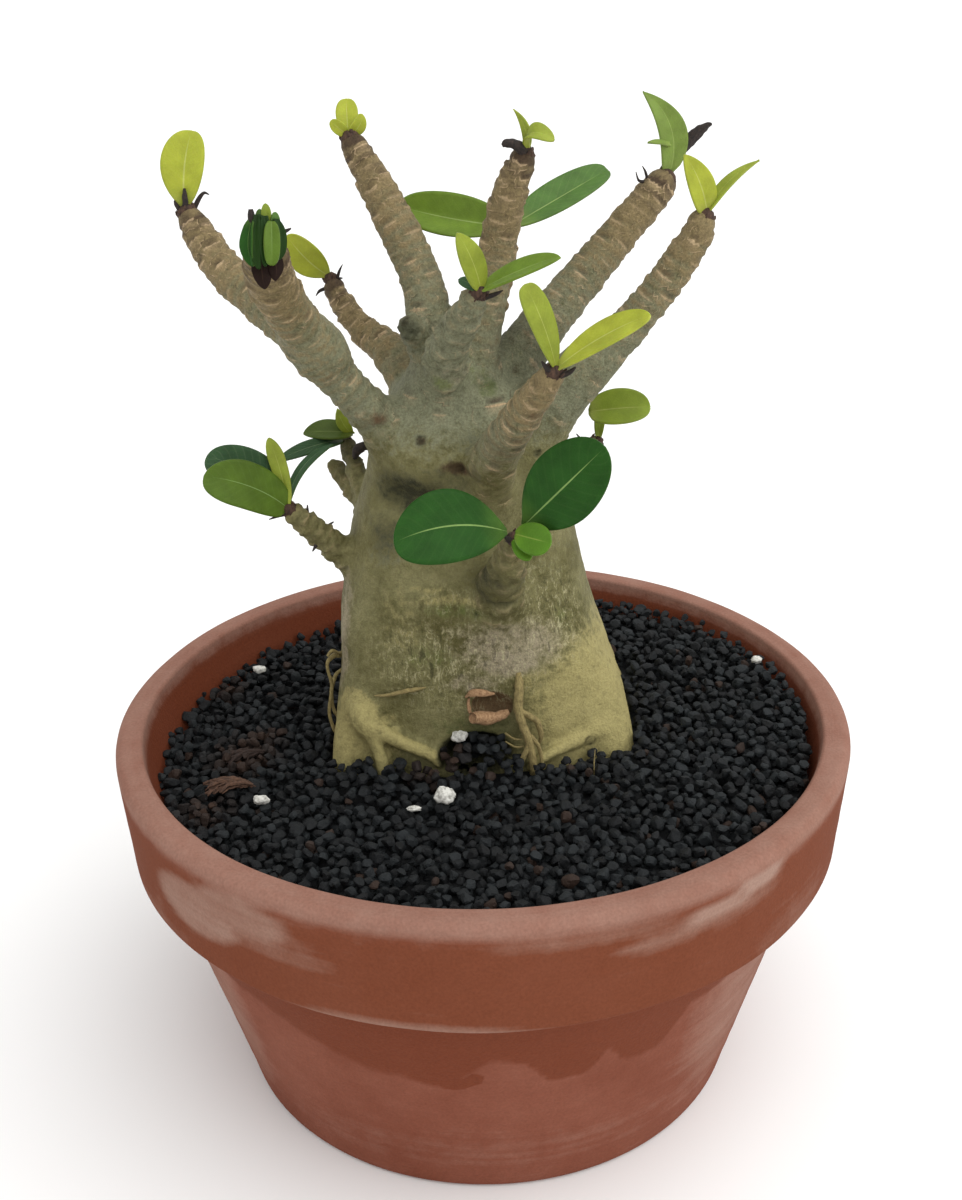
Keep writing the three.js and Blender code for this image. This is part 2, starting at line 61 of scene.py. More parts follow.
class Slot(Enum):
    """The record's material slots."""

    TERRACOTTA = "terracotta"
    POTTING_MIX = "potting_mix"
    BLACK_GRIT = "black_grit"
    BARK = "bark"
    YOUNG_LEAF = "young_leaf"
    OLD_LEAF = "old_leaf"
    PERLITE = "perlite"
    DEAD_BARK = "dead_bark"


# ---------------------------------------------------------------- small tools


def linear(colour: str) -> tuple[float, float, float, float]:
    """Turns an sRGB hex colour to linear light.

    Args:
        colour: Six hex digits after a hash.

    Returns:
        Red, green, blue and an alpha of 1.
    """
    parts = [int(colour[i : i + 2], 16) / 255 for i in (1, 3, 5)]
    return (*[p / 12.92 if p <= 0.04045 else ((p + 0.055) / 1.055) ** 2.4 for p in parts], 1.0)


def add_node(
    tree: bpy.types.NodeTree,
    kind: str,
    inputs: dict | None = None,
    out: int | str | None = 0,
    **settings: object,
) -> bpy.types.NodeSocket | bpy.types.bpy_prop_collection:
    """Adds a node with its settings, and links or sets its inputs.

    Args:
        tree: The material's node tree.
        kind: The node's type, without its first word.
        inputs: Input name or number to a socket, which is linked, or to a value, which is set.
        out: The output to give, or None for all of them.
        **settings: The node's own properties.

    Returns:
        The output socket, or the outputs.
    """
    node = tree.nodes.new(f"ShaderNode{kind}")
    for name, value in settings.items():
        setattr(node, name, value)
    for name, value in (inputs or {}).items():
        if isinstance(value, bpy.types.NodeSocket):
            tree.links.new(value, node.inputs[name])
        else:
            node.inputs[name].default_value = linear(value) if isinstance(value, str) else value
    return node.outputs if out is None else node.outputs[out]


def smoothstep(value: np.ndarray | float, low: float, high: float) -> np.ndarray | float:
    """Rises smoothly from 0 at low to 1 at high."""
    t = np.clip((value - low) / (high - low), 0, 1)
    return t * t * (3 - 2 * t)


def spline(rows: Sequence[Row], t: float) -> np.ndarray:
    """Reads a smooth value along evenly spaced rows.

    Args:
        rows: The values, a row at each even step.
        t: The place along them, from 0 to 1.

    Returns:
        The row at that place.
    """
    table = np.asarray(rows, float)
    at = t * (len(table) - 1)
    i = min(int(at), len(table) - 2)
    before, start, end, after = (table[min(max(k, 0), len(table) - 1)] for k in (i - 1, i, i + 1, i + 2))
    f = at - i
    bend = 2 * before - 5 * start + 4 * end - after + f * (3 * (start - end) + after - before)
    return start + 0.5 * f * (end - before + f * bend)


def scatter(points: np.ndarray, size: float, seed: float = 0.0) -> np.ndarray:
    """Smooth noise at each point.

    Args:
        points: Rows of x, y and z in millimetres.
        size: Width of a lump in millimetres.
        seed: Shifts the pattern.

    Returns:
        One value a point, about -1 to 1.
    """
    shifted = points / size + seed
    return np.array([noise.noise(p) for p in shifted.tolist()])


def ring_frames(path: Sequence[Vector]) -> list[Matrix]:
    """Turns a path to frames whose Z follows it and whose X doesn't twist.

    Args:
        path: The points along the middle of a stem.

    Returns:
        A 4x4 matrix at each point.
    """
    last = len(path) - 1
    tangents = [(path[min(i + 1, last)] - path[max(i - 1, 0)]).normalized() for i in range(last + 1)]
    across = tangents[0].orthogonal().normalized()
    frames = []
    for point, tangent in zip(path, tangents):
        across = (across - tangent * across.dot(tangent)).normalized()
        up = tangent.cross(across)
        frames.append(Matrix((across, up, tangent)).transposed().to_4x4())
        frames[-1].translation = point
    return frames


def tube(
    bm: bmesh.types.BMesh, path: Sequence[Point], radii: Sequence[float], sides: int, flat: float = 1.0,
) -> list:
    """Extrudes a ring along a path and closes both ends.

    Args:
        bm: The mesh it is added to.
        path: Points along its middle.
        radii: Its radius at each point.
        sides: Faces round it.
        flat: Share of its width that its thickness has.

    Returns:
        The new vertices.
    """
    frames = ring_frames([Vector(p) for p in path])
    placed = [f @ Matrix.Diagonal((r, r * flat, r, 1)) for f, r in zip(frames, radii)]
    ring = bmesh.ops.create_circle(bm, cap_ends=True, radius=1, segments=sides, matrix=placed[0])["verts"]
    made = list(ring)
    edges = list({e for v in ring for e in v.link_edges})
    for before, after in zip(placed, placed[1:]):
        grown = bmesh.ops.extrude_edge_only(bm, edges=edges)["geom"]
        ring = [g for g in grown if isinstance(g, bmesh.types.BMVert)]
        edges = [g for g in grown if isinstance(g, bmesh.types.BMEdge)]
        bmesh.ops.transform(bm, matrix=after @ before.inverted(), verts=ring)
        made += ring
    bmesh.ops.edgeloop_fill(bm, edges=edges)
    bmesh.ops.recalc_face_normals(bm, faces=list({f for v in made for f in v.link_faces}))
    return made


def finish_piece(
    name: str,
    mesh: bpy.types.Mesh,
    finishes: Sequence["Finish"],
    replaced: Sequence[str] = (),
    smooth: bool = True,
) -> bpy.types.Object:
    """Makes a mesh in millimetres a finished piece of the object.

    Args:
        name: The piece's name.
        mesh: Its mesh, which is turned to metres.
        finishes: Its materials in the order of its faces' material numbers.
        replaced: The CAD nodes that it stands for.
        smooth: Whether its faces are shaded as one smooth skin.

    Returns:
        The new object.
    """
    mesh.transform(Matrix.Scale(MM, 4))
    if smooth:
        mesh.shade_smooth()
    for surface in finishes:
        mesh.materials.append(surface.material())
    piece = bpy.data.objects.new(name, mesh)
    bpy.context.scene.collection.objects.link(piece)
    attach(piece, "root")
    if replaced:
        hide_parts(*replaced)
    mesh.calc_loop_triangles()
    LOG.info("%s: %d triangles", name, len(mesh.loop_triangles))
    return piece


def to_mesh(bm: bmesh.types.BMesh, name: str) -> bpy.types.Mesh:
    """Writes a bmesh to a new mesh and frees it.

    Args:
        bm: The bmesh.
        name: The new mesh's name.

    Returns:
        The new mesh.
    """
    mesh = bpy.data.meshes.new(name)
    bm.to_mesh(mesh)
    bm.free()
    return mesh


def set_attribute(mesh: bpy.types.Mesh, name: str, kind: str, values: np.ndarray) -> None:
    """Writes one value or row of values a vertex.

    Args:
        mesh: The mesh.
        name: The attribute's name, which its material reads.
        kind: FLOAT, FLOAT_VECTOR or FLOAT_COLOR.
        values: The values in the order of the vertices.
    """
    key = {"FLOAT": "value", "FLOAT_VECTOR": "vector", "FLOAT_COLOR": "color"}[kind]
    mesh.attributes.new(name, kind, "POINT").data.foreach_set(key, np.asarray(values, np.float32).ravel())


def vertex_rows(mesh: bpy.types.Mesh, what: str = "co") -> np.ndarray:
    """Reads one vector of each vertex.

    Args:
        mesh: The mesh.
        what: co for the vertex's place, or normal for the way it faces.

    Returns:
        Rows of x, y and z.
    """
    flat = np.empty(len(mesh.vertices) * 3)
    mesh.vertices.foreach_get(what, flat)
    return flat.reshape(-1, 3)


# ---------------------------------------------------------------- finishes


@dataclass(frozen=True)
class Finish:
    """What a surface is made of. Each kind paints its own nodes."""

    name: str
    slot: Slot

    def material(self) -> bpy.types.Material:
        """Makes this finish's material the first time, and gives it.

        Returns:
            The material.
        """
        known = bpy.data.materials.get(self.name)
        if known:
            return known
        material = bpy.data.materials.new(self.name)
        material.use_nodes = True
        tree = material.node_tree
        tree.nodes.clear()
        add = partial(add_node, tree)
        metres = add("TexCoord", out="Object")
        place = add("VectorMath", {0: metres, "Scale": 1000.0}, operation="SCALE")
        add("OutputMaterial", {"Surface": self.paint(add, place)}, None)
        return material

    def paint(self, add: Add, place: Socket) -> Socket:
        """Builds the surface.

        Args:
            add: Adds a node to the material and gives its first output.
            place: The point on the object, in millimetres.

        Returns:
            The shader's output.
        """
        raise NotImplementedError


@dataclass(frozen=True)
class Terracotta(Finish):
    """Thrown, unglazed red earthenware, fired and then weathered.

    It is matt and slightly sandy, with the fine rings of throwing, a pale lime bloom and darker damp clay.
    The damp colour also paints shade on the inner wall under the lip, and the bloom colour a highlight along
    the collar's lower edge.
    The sand and the rings are drawn coarser than life, so that they show.
    """

    name: str = "terracotta_thrown"
    slot: Slot = Slot.TERRACOTTA
    deep: str = "#743f2e"
    warm: str = "#8a5645"
    bloom_and_edge_highlight: str = "#a48779"
    damp_and_inner_shade: str = "#6c341d"
    orange: str = "#6f3b24"
    line_spacing: float = 2.4
    line_drift: float = 90.9
    cloud: float = 33.3
    blotch: float = 7.69
    sand: float = 0.7

    def paint(self, add: Add, place: Socket) -> Socket:
        """Builds the surface from clay, throwing lines, bloom and damp, which also carry a painted highlight
        and painted shade.

        Args:
            add: Adds a node to the material and gives its first output.
            place: The point on the object, in millimetres.

        Returns:
            The shader's output.
        """
        mark = add("SeparateXYZ", {0: add("Attribute", out="Vector", attribute_name="marks")}, None)
        flat = add("VectorMath", {0: place, 1: (1, 1, 0)}, operation="MULTIPLY")
        radius = add("VectorMath", {0: flat}, "Value", operation="LENGTH")
        level = add("SeparateXYZ", {0: place}, 2)
        along = add("Math", {0: radius, 1: level}, operation="ADD")
        ring = add("Math", {0: along, 1: 1 / self.line_spacing}, operation="MULTIPLY")
        round_it = add("VectorMath", {0: flat, "Scale": 1 / self.line_drift}, operation="SCALE")
        track = add("VectorMath", {0: round_it, 1: add("CombineXYZ", {2: ring})}, operation="ADD")
        lines = add("TexNoise", {"Vector": track, "Scale": 1.0, "Detail": 5.0, "Roughness": 0.62})
        cloud = add("TexNoise", {"Vector": place, "Scale": 1 / self.cloud, "Detail": 5.0, "Roughness": 0.6})
        blotch = add("TexNoise", {
            "Vector": place, "Scale": 1 / self.blotch, "Detail": 6.0, "Roughness": 0.65,
        })
        grain = add("TexNoise", {"Vector": place, "Scale": 1 / self.sand, "Detail": 3.0})
        tone = add("Math", {0: cloud, 1: 0.9, 2: -0.3}, operation="MULTIPLY_ADD")
        tone = add("Math", {0: blotch, 1: 0.35, 2: tone}, operation="MULTIPLY_ADD")
        tone = add("Math", {0: lines, 1: 0.2, 2: tone}, operation="MULTIPLY_ADD")
        clay = add("MapRange", {0: tone, 1: 0.15, 2: 0.75})
        colour = add("Mix", {0: clay, 6: self.deep, 7: self.warm}, 2, data_type="RGBA")
        warm = add("Math", {0: mark[2], 1: 0.8}, operation="MULTIPLY")
        colour = add("Mix", {0: warm, 6: colour, 7: self.orange}, 2, data_type="RGBA")
        # Lime bloom and the painted highlight along the collar's lower edge turn the clay towards the bloom
        # colour.
        bloom_and_highlight_share = add("Math", {0: blotch, 1: 0.45, 2: mark[0]}, operation="MULTIPLY_ADD")
        bloom_and_highlight_share = add("Math", {0: lines, 1: 0.4, 2: bloom_and_highlight_share}, operation="MULTIPLY_ADD")
        bloom_and_highlight_share = add("MapRange", {0: bloom_and_highlight_share, 1: 0.5, 2: 1.35, 4: 0.85})
        colour = add("Mix", {0: bloom_and_highlight_share, 6: colour, 7: self.bloom_and_edge_highlight}, 2, data_type="RGBA")
        # Damp clay darkens towards the damp colour, and so does the painted shade on the inner wall under the
        # lip.
        edge = add("Math", {0: blotch, 1: 1.4, 2: mark[1]}, operation="MULTIPLY_ADD")
        damp_and_inner_shade = add("MapRange", {0: edge, 1: 0.95, 2: 0.1, 4: 0.8})
        colour = add("Mix", {0: damp_and_inner_shade, 6: colour, 7: self.damp_and_inner_shade}, 2, data_type="RGBA")
        speck = add("MapRange", {0: grain, 1: 0.3, 2: 0.7, 3: 0.9, 4: 1.08})
        colour = add("VectorMath", {0: colour, "Scale": speck}, operation="SCALE")
        rough = add("MapRange", {0: damp_and_inner_shade, 3: 0.9, 4: 0.68})
        relief = add("Math", {0: lines, 1: 0.5, 2: grain}, operation="MULTIPLY_ADD")
        bump = add("Bump", {"Height": relief, "Strength": 0.4, "Distance": 0.0004})
        surface = {
            "Base Color": colour, "Roughness": rough, "Normal": bump, "IOR": 1.45, "Specular IOR Level": 0.12,
        }
        return add("BsdfPrincipled", surface)


@dataclass(frozen=True)
class LavaGrit(Finish):
    """Crushed black lava grit: matt and nearly black, with a fine pitted skin that dust makes a little paler.

    The pits are drawn coarser than life, so that they show.
    """

    name: str = "lava_grit"
    slot: Slot = Slot.BLACK_GRIT
    deep: str = "#07080a"
    dusty: str = "#202426"
    brown: str = "#3a271b"
    pit: float = 0.5

    def paint(self, add: Add, place: Socket) -> Socket:
        """Builds the surface from a tone for each grain, dust and pits.

        Args:
            add: Adds a node to the material and gives its first output.
            place: The point on the object, in millimetres.

        Returns:
            The shader's output.
        """
        tone = add("SeparateXYZ", {0: add("Attribute", out="Vector", attribute_name="tone")}, None)
        pits = add("TexNoise", {"Vector": place, "Scale": 1 / self.pit, "Detail": 4.0, "Roughness": 0.7})
        dust = add("Math", {0: pits, 1: 0.9, 2: tone[0]}, operation="MULTIPLY_ADD")
        dust = add("MapRange", {0: dust, 1: 0.35, 2: 1.45})
        colour = add("Mix", {0: dust, 6: self.deep, 7: self.dusty}, 2, data_type="RGBA")
        colour = add("Mix", {0: tone[1], 6: colour, 7: self.brown}, 2, data_type="RGBA")
        bump = add("Bump", {"Height": pits, "Strength": 0.7, "Distance": 0.0003})
        surface = {
            "Base Color": colour, "Roughness": 0.7, "Normal": bump, "IOR": 1.5, "Specular IOR Level": 0.3,
        }
        return add("BsdfPrincipled", surface)


@dataclass(frozen=True)
class PottingSoil(Finish):
    """Peat and bark potting mix, sieved and pressed in: a matt dark brown crumb with paler bits."""

    name: str = "potting_soil"
    slot: Slot = Slot.POTTING_MIX
    dark: str = "#1d130d"
    light: str = "#4a3424"
    crumb: float = 1.6

    def paint(self, add: Add, place: Socket) -> Socket:
        """Builds the surface from crumbs of two browns.

        Args:
            add: Adds a node to the material and gives its first output.
            place: The point on the object, in millimetres.

        Returns:
            The shader's output.
        """
        cells = add("TexVoronoi", {"Vector": place, "Scale": 1 / self.crumb}, None)
        colour = add("Mix", {0: cells["Color"], 6: self.dark, 7: self.light}, 2, data_type="RGBA")
        bump = add("Bump", {"Height": cells["Distance"], "Strength": 0.8, "Distance": 0.0008}, invert=True)
        return add("BsdfPrincipled", {"Base Color": colour, "Roughness": 0.95, "Normal": bump})


@dataclass(frozen=True)
class CaudexBark(Finish):
    """Living adenium bark: a thin waxy skin over green flesh, stretched and split as the caudex swells.

    The eye sees soft olive and grey patches with a faint sheen, tan crescents at the leaf scars, and short
    fissures, which are drawn coarser than life, so that they show. Shade in hollows and creases, under bulges
    and forks, and above the scars is painted.
    """

    name: str = "adenium_bark"
    slot: Slot = Slot.BARK
    olive: str = "#645f38"
    khaki: str = "#878259"
    grey: str = "#7d7e64"
    yellow: str = "#a89d68"
    young: str = "#837351"
    tip: str = "#46362a"
    pink: str = "#a3977f"
    moss: str = "#5e6a33"
    rust: str = "#5c452f"
    scar: str = "#b59d7b"
    fissure: str = "#b5ae88"
    shade: str = "#28291a"
    cloud: float = 11.1
    patch: float = 2.381
    grain: float = 0.588
    fissure_gap: float = 1.3
    fissure_length: float = 5.0
    fissure_bend: float = 2.0

    def paint(self, add: Add, place: Socket) -> Socket:
        """Builds the surface from skins of several ages, fissures, pits and scars, and from painted shade.

        Args:
            add: Adds a node to the material and gives its first output.
            place: The point on the object, in millimetres.

        Returns:
            The shader's output.
        """
        age = add("Attribute", None, None, attribute_name="age")
        skin = add("SeparateColor", {0: age["Color"]}, None)
        wear_and_painted_shade = add("Attribute", None, None, attribute_name="wear_and_painted_shade")
        shade_and_wear = add("SeparateColor", {0: wear_and_painted_shade["Color"]}, None)
        scar = add("SeparateXYZ", {0: add("Attribute", out="Vector", attribute_name="scar")}, None)
        cloud = add("TexNoise", {"Vector": place, "Scale": 1 / self.cloud, "Detail": 5.0, "Roughness": 0.6})
        patch = add("TexNoise", {"Vector": place, "Scale": 1 / self.patch, "Detail": 6.0, "Roughness": 0.68})
        grain = add("TexNoise", {"Vector": place, "Scale": 1 / self.grain, "Detail": 4.0, "Roughness": 0.7})
        upright = (1 / self.fissure_gap, 1 / self.fissure_gap, 1 / self.fissure_length)
        drawn = add("VectorMath", {0: place, 1: upright}, operation="MULTIPLY")
        bend = add("TexNoise", {"Vector": place, "Scale": 1 / self.fissure_bend, "Detail": 2.0}, "Color")
        drawn = add("VectorMath", {0: bend, 1: (0.9, 0.9, 0.9), 2: drawn}, operation="MULTIPLY_ADD")
        split = add("TexNoise", {"Vector": drawn, "Scale": 1.0, "Detail": 2.0, "Roughness": 0.5})
        mottle = add("Math", {0: patch, 1: 0.5, 2: cloud}, operation="MULTIPLY_ADD")
        share = add("MapRange", {0: mottle, 1: 0.55, 2: 0.95})
        colour = add("Mix", {0: share, 6: self.olive, 7: self.khaki}, 2, data_type="RGBA")
        layers = [
            (skin[2], self.grey, 1.0), (skin[1], self.yellow, 1.0), (skin[0], self.young, 1.0),
            (age["Alpha"], self.pink, 0.85), (shade_and_wear[2], self.moss, 0.8), (wear_and_painted_shade["Alpha"], self.rust, 0.9),
        ]
        for cover, tint, most in layers:
            torn = add("Math", {0: patch, 1: 1.3, 2: cover}, operation="MULTIPLY_ADD")
            torn = add("MapRange", {0: torn, 1: 0.85, 2: 1.45, 4: most}, interpolation_type="SMOOTHSTEP")
            colour = add("Mix", {0: torn, 6: colour, 7: tint}, 2, data_type="RGBA")
        end = add("MapRange", {0: skin[0], 1: 0.95, 2: 1.22, 4: 0.85})
        colour = add("Mix", {0: end, 6: colour, 7: self.tip}, 2, data_type="RGBA")
        off = add("Math", {0: add("Math", {0: split, 1: 0.5}, operation="SUBTRACT")}, operation="ABSOLUTE")
        line = add("MapRange", {0: off, 1: 0.05, 2: 0.012, 4: 0.75}, interpolation_type="SMOOTHSTEP")
        broken = add("MapRange", {0: patch, 1: 0.42, 2: 0.58})
        line = add("Math", {0: line, 1: broken}, operation="MULTIPLY")
        line = add("Math", {0: line, 1: shade_and_wear[1]}, operation="MULTIPLY")
        colour = add("Mix", {0: line, 6: colour, 7: self.fissure}, 2, data_type="RGBA")
        dash = add("MapRange", {0: split, 1: 0.4, 2: 0.3, 4: 0.55}, interpolation_type="SMOOTHSTEP")
        dash = add("Math", {0: dash, 1: shade_and_wear[1]}, operation="MULTIPLY")
        colour = add("Mix", {0: dash, 6: colour, 7: self.shade}, 2, data_type="RGBA")
        squared = add("Math", {0: scar[0], 1: scar[0]}, operation="MULTIPLY")
        room = add("Math", {0: 1.0, 1: squared}, operation="SUBTRACT", use_clamp=True)
        thick = add("Math", {0: add("Math", {0: room}, operation="SQRT"), 1: 0.3}, operation="MULTIPLY")
        away = add("Math", {0: scar[1], 1: -0.1}, operation="SUBTRACT")
        away = add("Math", {0: away}, operation="ABSOLUTE")
        inside = add("Math", {0: thick, 1: away}, operation="SUBTRACT")
        crescent = add("MapRange", {0: inside, 1: -0.05, 2: 0.12}, interpolation_type="SMOOTHSTEP")
        crescent = add("Math", {0: crescent, 1: scar[2]}, operation="MULTIPLY")
        # Painted shade in the recess just above each scar's rim, drawn in the tips' dark brown.
        below = add("MapRange", {0: scar[1], 1: 0.2, 2: 0.7}, interpolation_type="SMOOTHSTEP")
        above = add("MapRange", {0: scar[1], 1: 2.2, 2: 1.0}, interpolation_type="SMOOTHSTEP")
        hollow = 0.75
        for factor in (below, above, room, scar[2]):
            hollow = add("Math", {0: factor, 1: hollow}, operation="MULTIPLY")
        colour = add("Mix", {0: hollow, 6: colour, 7: self.tip}, 2, data_type="RGBA")
        pad = add("MapRange", {0: scar[1], 1: -2.4, 2: -0.2, 4: 0.45})
        for factor in (room, scar[2], add("MapRange", {0: scar[1], 1: 0.5, 2: 0.1})):
            pad = add("Math", {0: pad, 1: factor}, operation="MULTIPLY")
        colour = add("Mix", {0: pad, 6: colour, 7: self.scar}, 2, data_type="RGBA")
        colour = add("Mix", {0: crescent, 6: colour, 7: self.scar}, 2, data_type="RGBA")
        speck = add("Math", {0: patch, 1: 0.8, 2: grain}, operation="MULTIPLY_ADD")
        speck = add("MapRange", {0: speck, 1: 0.65, 2: 1.15, 3: -0.36, 4: 0.34})
        calm = add("Math", {0: skin[0], 1: skin[2]}, operation="ADD")
        calm = add("Math", {0: calm, 1: shade_and_wear[1]}, operation="ADD")
        calm = add("MapRange", {0: calm, 1: 0.1, 2: 0.9, 3: 0.55, 4: 1.1})
        speck = add("Math", {0: speck, 1: calm, 2: 1.0}, operation="MULTIPLY_ADD")
        colour = add("VectorMath", {0: colour, "Scale": speck}, operation="SCALE")
        # Painted shade: the shade channel, broken by the patch noise, darkens the bark towards the shade
        # colour.
        dark = add("Math", {0: patch, 1: 1.7, 2: shade_and_wear[0]}, operation="MULTIPLY_ADD")
        dark = add("MapRange", {0: dark, 1: 0.98, 2: 1.78, 4: 0.92})
        colour = add("Mix", {0: dark, 6: colour, 7: self.shade}, 2, data_type="RGBA")
        relief = add("Math", {0: line, 1: -0.6, 2: grain}, operation="MULTIPLY_ADD")
        relief = add("Math", {0: patch, 1: 2.0, 2: relief}, operation="MULTIPLY_ADD")
        bump = add("Bump", {"Height": relief, "Strength": 0.7, "Distance": 0.0006})
        surface = {
            "Base Color": colour, "Roughness": 0.66, "Normal": bump, "IOR": 1.45, "Specular IOR Level": 0.25,
        }
        return add("BsdfPrincipled", surface)


@dataclass(frozen=True)
class LeafBlade(Finish):
    """A living leaf: a thin waxy skin over green flesh that light sinks into a little.

    The eye sees a soft gloss, a pale midrib, faint side veins and a duller underside. Flesh is the depth in
    metres that light sinks to.
    """

    upper: str = "#3f6b2a"
    under: str = "#6c8440"
    rib: str = "#a9bd74"
    foot: str = "#8fa244"
    vein_share: float = 0.25
    rib_width: float = 0.08
    gloss: float = 0.4
    wax: float = 0.22
    flesh: float = 0.0005
    mottle: float = 4.55
    grain: float = 0.385

    def paint(self, add: Add, place: Socket) -> Socket:
        """Builds the surface from its two faces, midrib and veins.

        Args:
            add: Adds a node to the material and gives its first output.
            place: The point on the object, in millimetres.

        Returns:
            The shader's output.
        """
        spot = add("SeparateXYZ", {0: add("Attribute", out="Vector", attribute_name="blade")}, None)
        mottle = add("TexNoise", {"Vector": place, "Scale": 1 / self.mottle, "Detail": 4.0})
        grain = add("TexNoise", {"Vector": place, "Scale": 1 / self.grain, "Detail": 3.0})
        off = add("Math", {0: spot[0]}, operation="ABSOLUTE")
        slant = add("Math", {0: off, 1: -0.22, 2: spot[1]}, operation="MULTIPLY_ADD")
        slant = add("Math", {0: slant, 1: 0.045}, operation="PINGPONG")
        vein = add("MapRange", {0: slant, 1: 0.014, 2: 0.0, 4: self.vein_share})
        colour = add("Mix", {0: spot[2], 6: self.under, 7: self.upper}, 2, data_type="RGBA")
        foot = add("MapRange", {0: spot[1], 1: 0.28, 2: 0.02, 4: 0.8}, interpolation_type="SMOOTHSTEP")
        colour = add("Mix", {0: foot, 6: colour, 7: self.foot}, 2, data_type="RGBA")
        colour = add("Mix", {0: vein, 6: colour, 7: self.rib}, 2, data_type="RGBA")
        taper = add("MapRange", {0: spot[1], 1: 0.1, 2: 1.0, 3: self.rib_width, 4: 0.3 * self.rib_width})
        near = add("Math", {0: off, 1: taper}, operation="DIVIDE")
        rib = add("MapRange", {0: near, 1: 1.1, 2: 0.5}, interpolation_type="SMOOTHSTEP")
        fade = add("MapRange", {0: spot[1], 1: 0.98, 2: 0.7, 4: 0.85})
        rib = add("Math", {0: rib, 1: fade}, operation="MULTIPLY")
        colour = add("Mix", {0: rib, 6: colour, 7: self.rib}, 2, data_type="RGBA")
        tone = add("Math", {0: grain, 1: 0.3, 2: mottle}, operation="MULTIPLY_ADD")
        tone = add("MapRange", {0: tone, 1: 0.4, 2: 0.9, 3: 0.8, 4: 1.18})
        colour = add("VectorMath", {0: colour, "Scale": tone}, operation="SCALE")
        height = add("Math", {0: vein, 1: -1.0, 2: grain}, operation="MULTIPLY_ADD")
        bump = add("Bump", {"Height": height, "Strength": 0.35, "Distance": 0.0002})
        surface = {
            "Base Color": colour, "Roughness": self.gloss, "Normal": bump, "IOR": 1.42,
            "Specular IOR Level": self.wax, "Subsurface Weight": 0.2, "Subsurface Radius": (0.5, 1.0, 0.2),
            "Subsurface Scale": self.flesh,
        }
        return add("BsdfPrincipled", surface)


@dataclass(frozen=True)
class WhiteGrain(Finish):
    """Expanded perlite, volcanic glass puffed up by heat: a matt white foam with small grey pits."""

    name: str = "perlite_foam"
    slot: Slot = Slot.PERLITE
    pit: str = "#9a9890"
    white: str = "#dddcd4"
    bubble: float = 0.714
    pit_gap: float = 1.11

    def paint(self, add: Add, place: Socket) -> Socket:
        """Builds the surface from foam and pits.

        Args:
            add: Adds a node to the material and gives its first output.
            place: The point on the object, in millimetres.

        Returns:
            The shader's output.
        """
        foam = add("TexVoronoi", {"Vector": place, "Scale": 1 / self.bubble}, "Distance", feature="SMOOTH_F1")
        fine = add("TexNoise", {"Vector": place, "Scale": 1 / self.pit_gap, "Detail": 4.0, "Roughness": 0.65})
        deep = add("MapRange", {0: fine, 1: 0.34, 2: 0.55})
        colour = add("Mix", {0: deep, 6: self.pit, 7: self.white}, 2, data_type="RGBA")
        bump = add("Bump", {"Height": foam, "Strength": 0.6, "Distance": 0.0004})
        return add("BsdfPrincipled", {"Base Color": colour, "Roughness": 0.9, "Normal": bump})


@dataclass(frozen=True)
class DeadFibre(Finish):
    """Dead bark, torn bark fibre and dried leaf: matt, with light and dark fibres that run with the piece."""

    name: str = "dead_bark_fibre"
    slot: Slot = Slot.DEAD_BARK
    dark: str = "#27170f"
    light: str = "#6e442f"
    grain: float = 0.833

    def paint(self, add: Add, place: Socket) -> Socket:
        """Builds the surface from light and dark fibres.

        Args:
            add: Adds a node to the material and gives its first output.
            place: The point on the object, in millimetres.

        Returns:
            The shader's output.
        """
        spot = add("Attribute", out="Vector", attribute_name="blade")
        drawn = add("VectorMath", {0: spot, 1: (7, 1.2, 1)}, operation="MULTIPLY")
        fibre = add("TexNoise", {"Vector": drawn, "Scale": 1.0, "Detail": 4.0, "Roughness": 0.6})
        grain = add("TexNoise", {"Vector": place, "Scale": 1 / self.grain, "Detail": 4.0, "Roughness": 0.7})
        tone = add("Math", {0: fibre, 1: grain}, operation="ADD")
        tone = add("MapRange", {0: tone, 1: 0.75, 2: 1.3})
        colour = add("Mix", {0: tone, 6: self.dark, 7: self.light}, 2, data_type="RGBA")
        bump = add("Bump", {"Height": fibre, "Strength": 0.7, "Distance": 0.0003})
        return add("BsdfPrincipled", {"Base Color": colour, "Roughness": 0.85, "Normal": bump})


@dataclass(frozen=True)
class StudioPaper(Finish):
    """A sheet of white background paper: matt and even, all but free of pattern."""

    name: str = "background_paper"
    slot: Slot = Slot.PERLITE
    cloud: float = 100.0

    def paint(self, add: Add, place: Socket) -> Socket:
        """Builds a plain matt white.

        Args:
            add: Adds a node to the material and gives its first output.
            place: The point on the object, in millimetres.

        Returns:
            The shader's output.
        """
        grain = add("TexNoise", {"Vector": place, "Scale": 1 / self.cloud})
        colour = add("Mix", {0: grain, 6: "#f6f6f5", 7: "#fafaf9"}, 2, data_type="RGBA")
        return add("BsdfPrincipled", {"Base Color": colour, "Roughness": 0.9, "Specular IOR Level": 0.1})


TERRACOTTA = Terracotta()
GRIT = LavaGrit()
SOIL = PottingSoil()
BARK = CaudexBark()
PERLITE = WhiteGrain()
FIBRE = DeadFibre(light="#70503c")
DUSTY_FIBRE = DeadFibre("dusty_bark_fibre", Slot.DEAD_BARK, "#1c120d", "#3d2920")
DRIED = DeadFibre("dried_leaf", Slot.DEAD_BARK, "#120f0e", "#3b2e28")
SCALES = DeadFibre("bud_scale", Slot.DEAD_BARK, "#241610", "#5a4030")
ROOTLET = DeadFibre("fine_root_skin", Slot.BARK, "#6a5c37", "#a3935f")
PEELED = DeadFibre("peeled_bark", Slot.BARK, "#7b5a3c", "#b8946e")


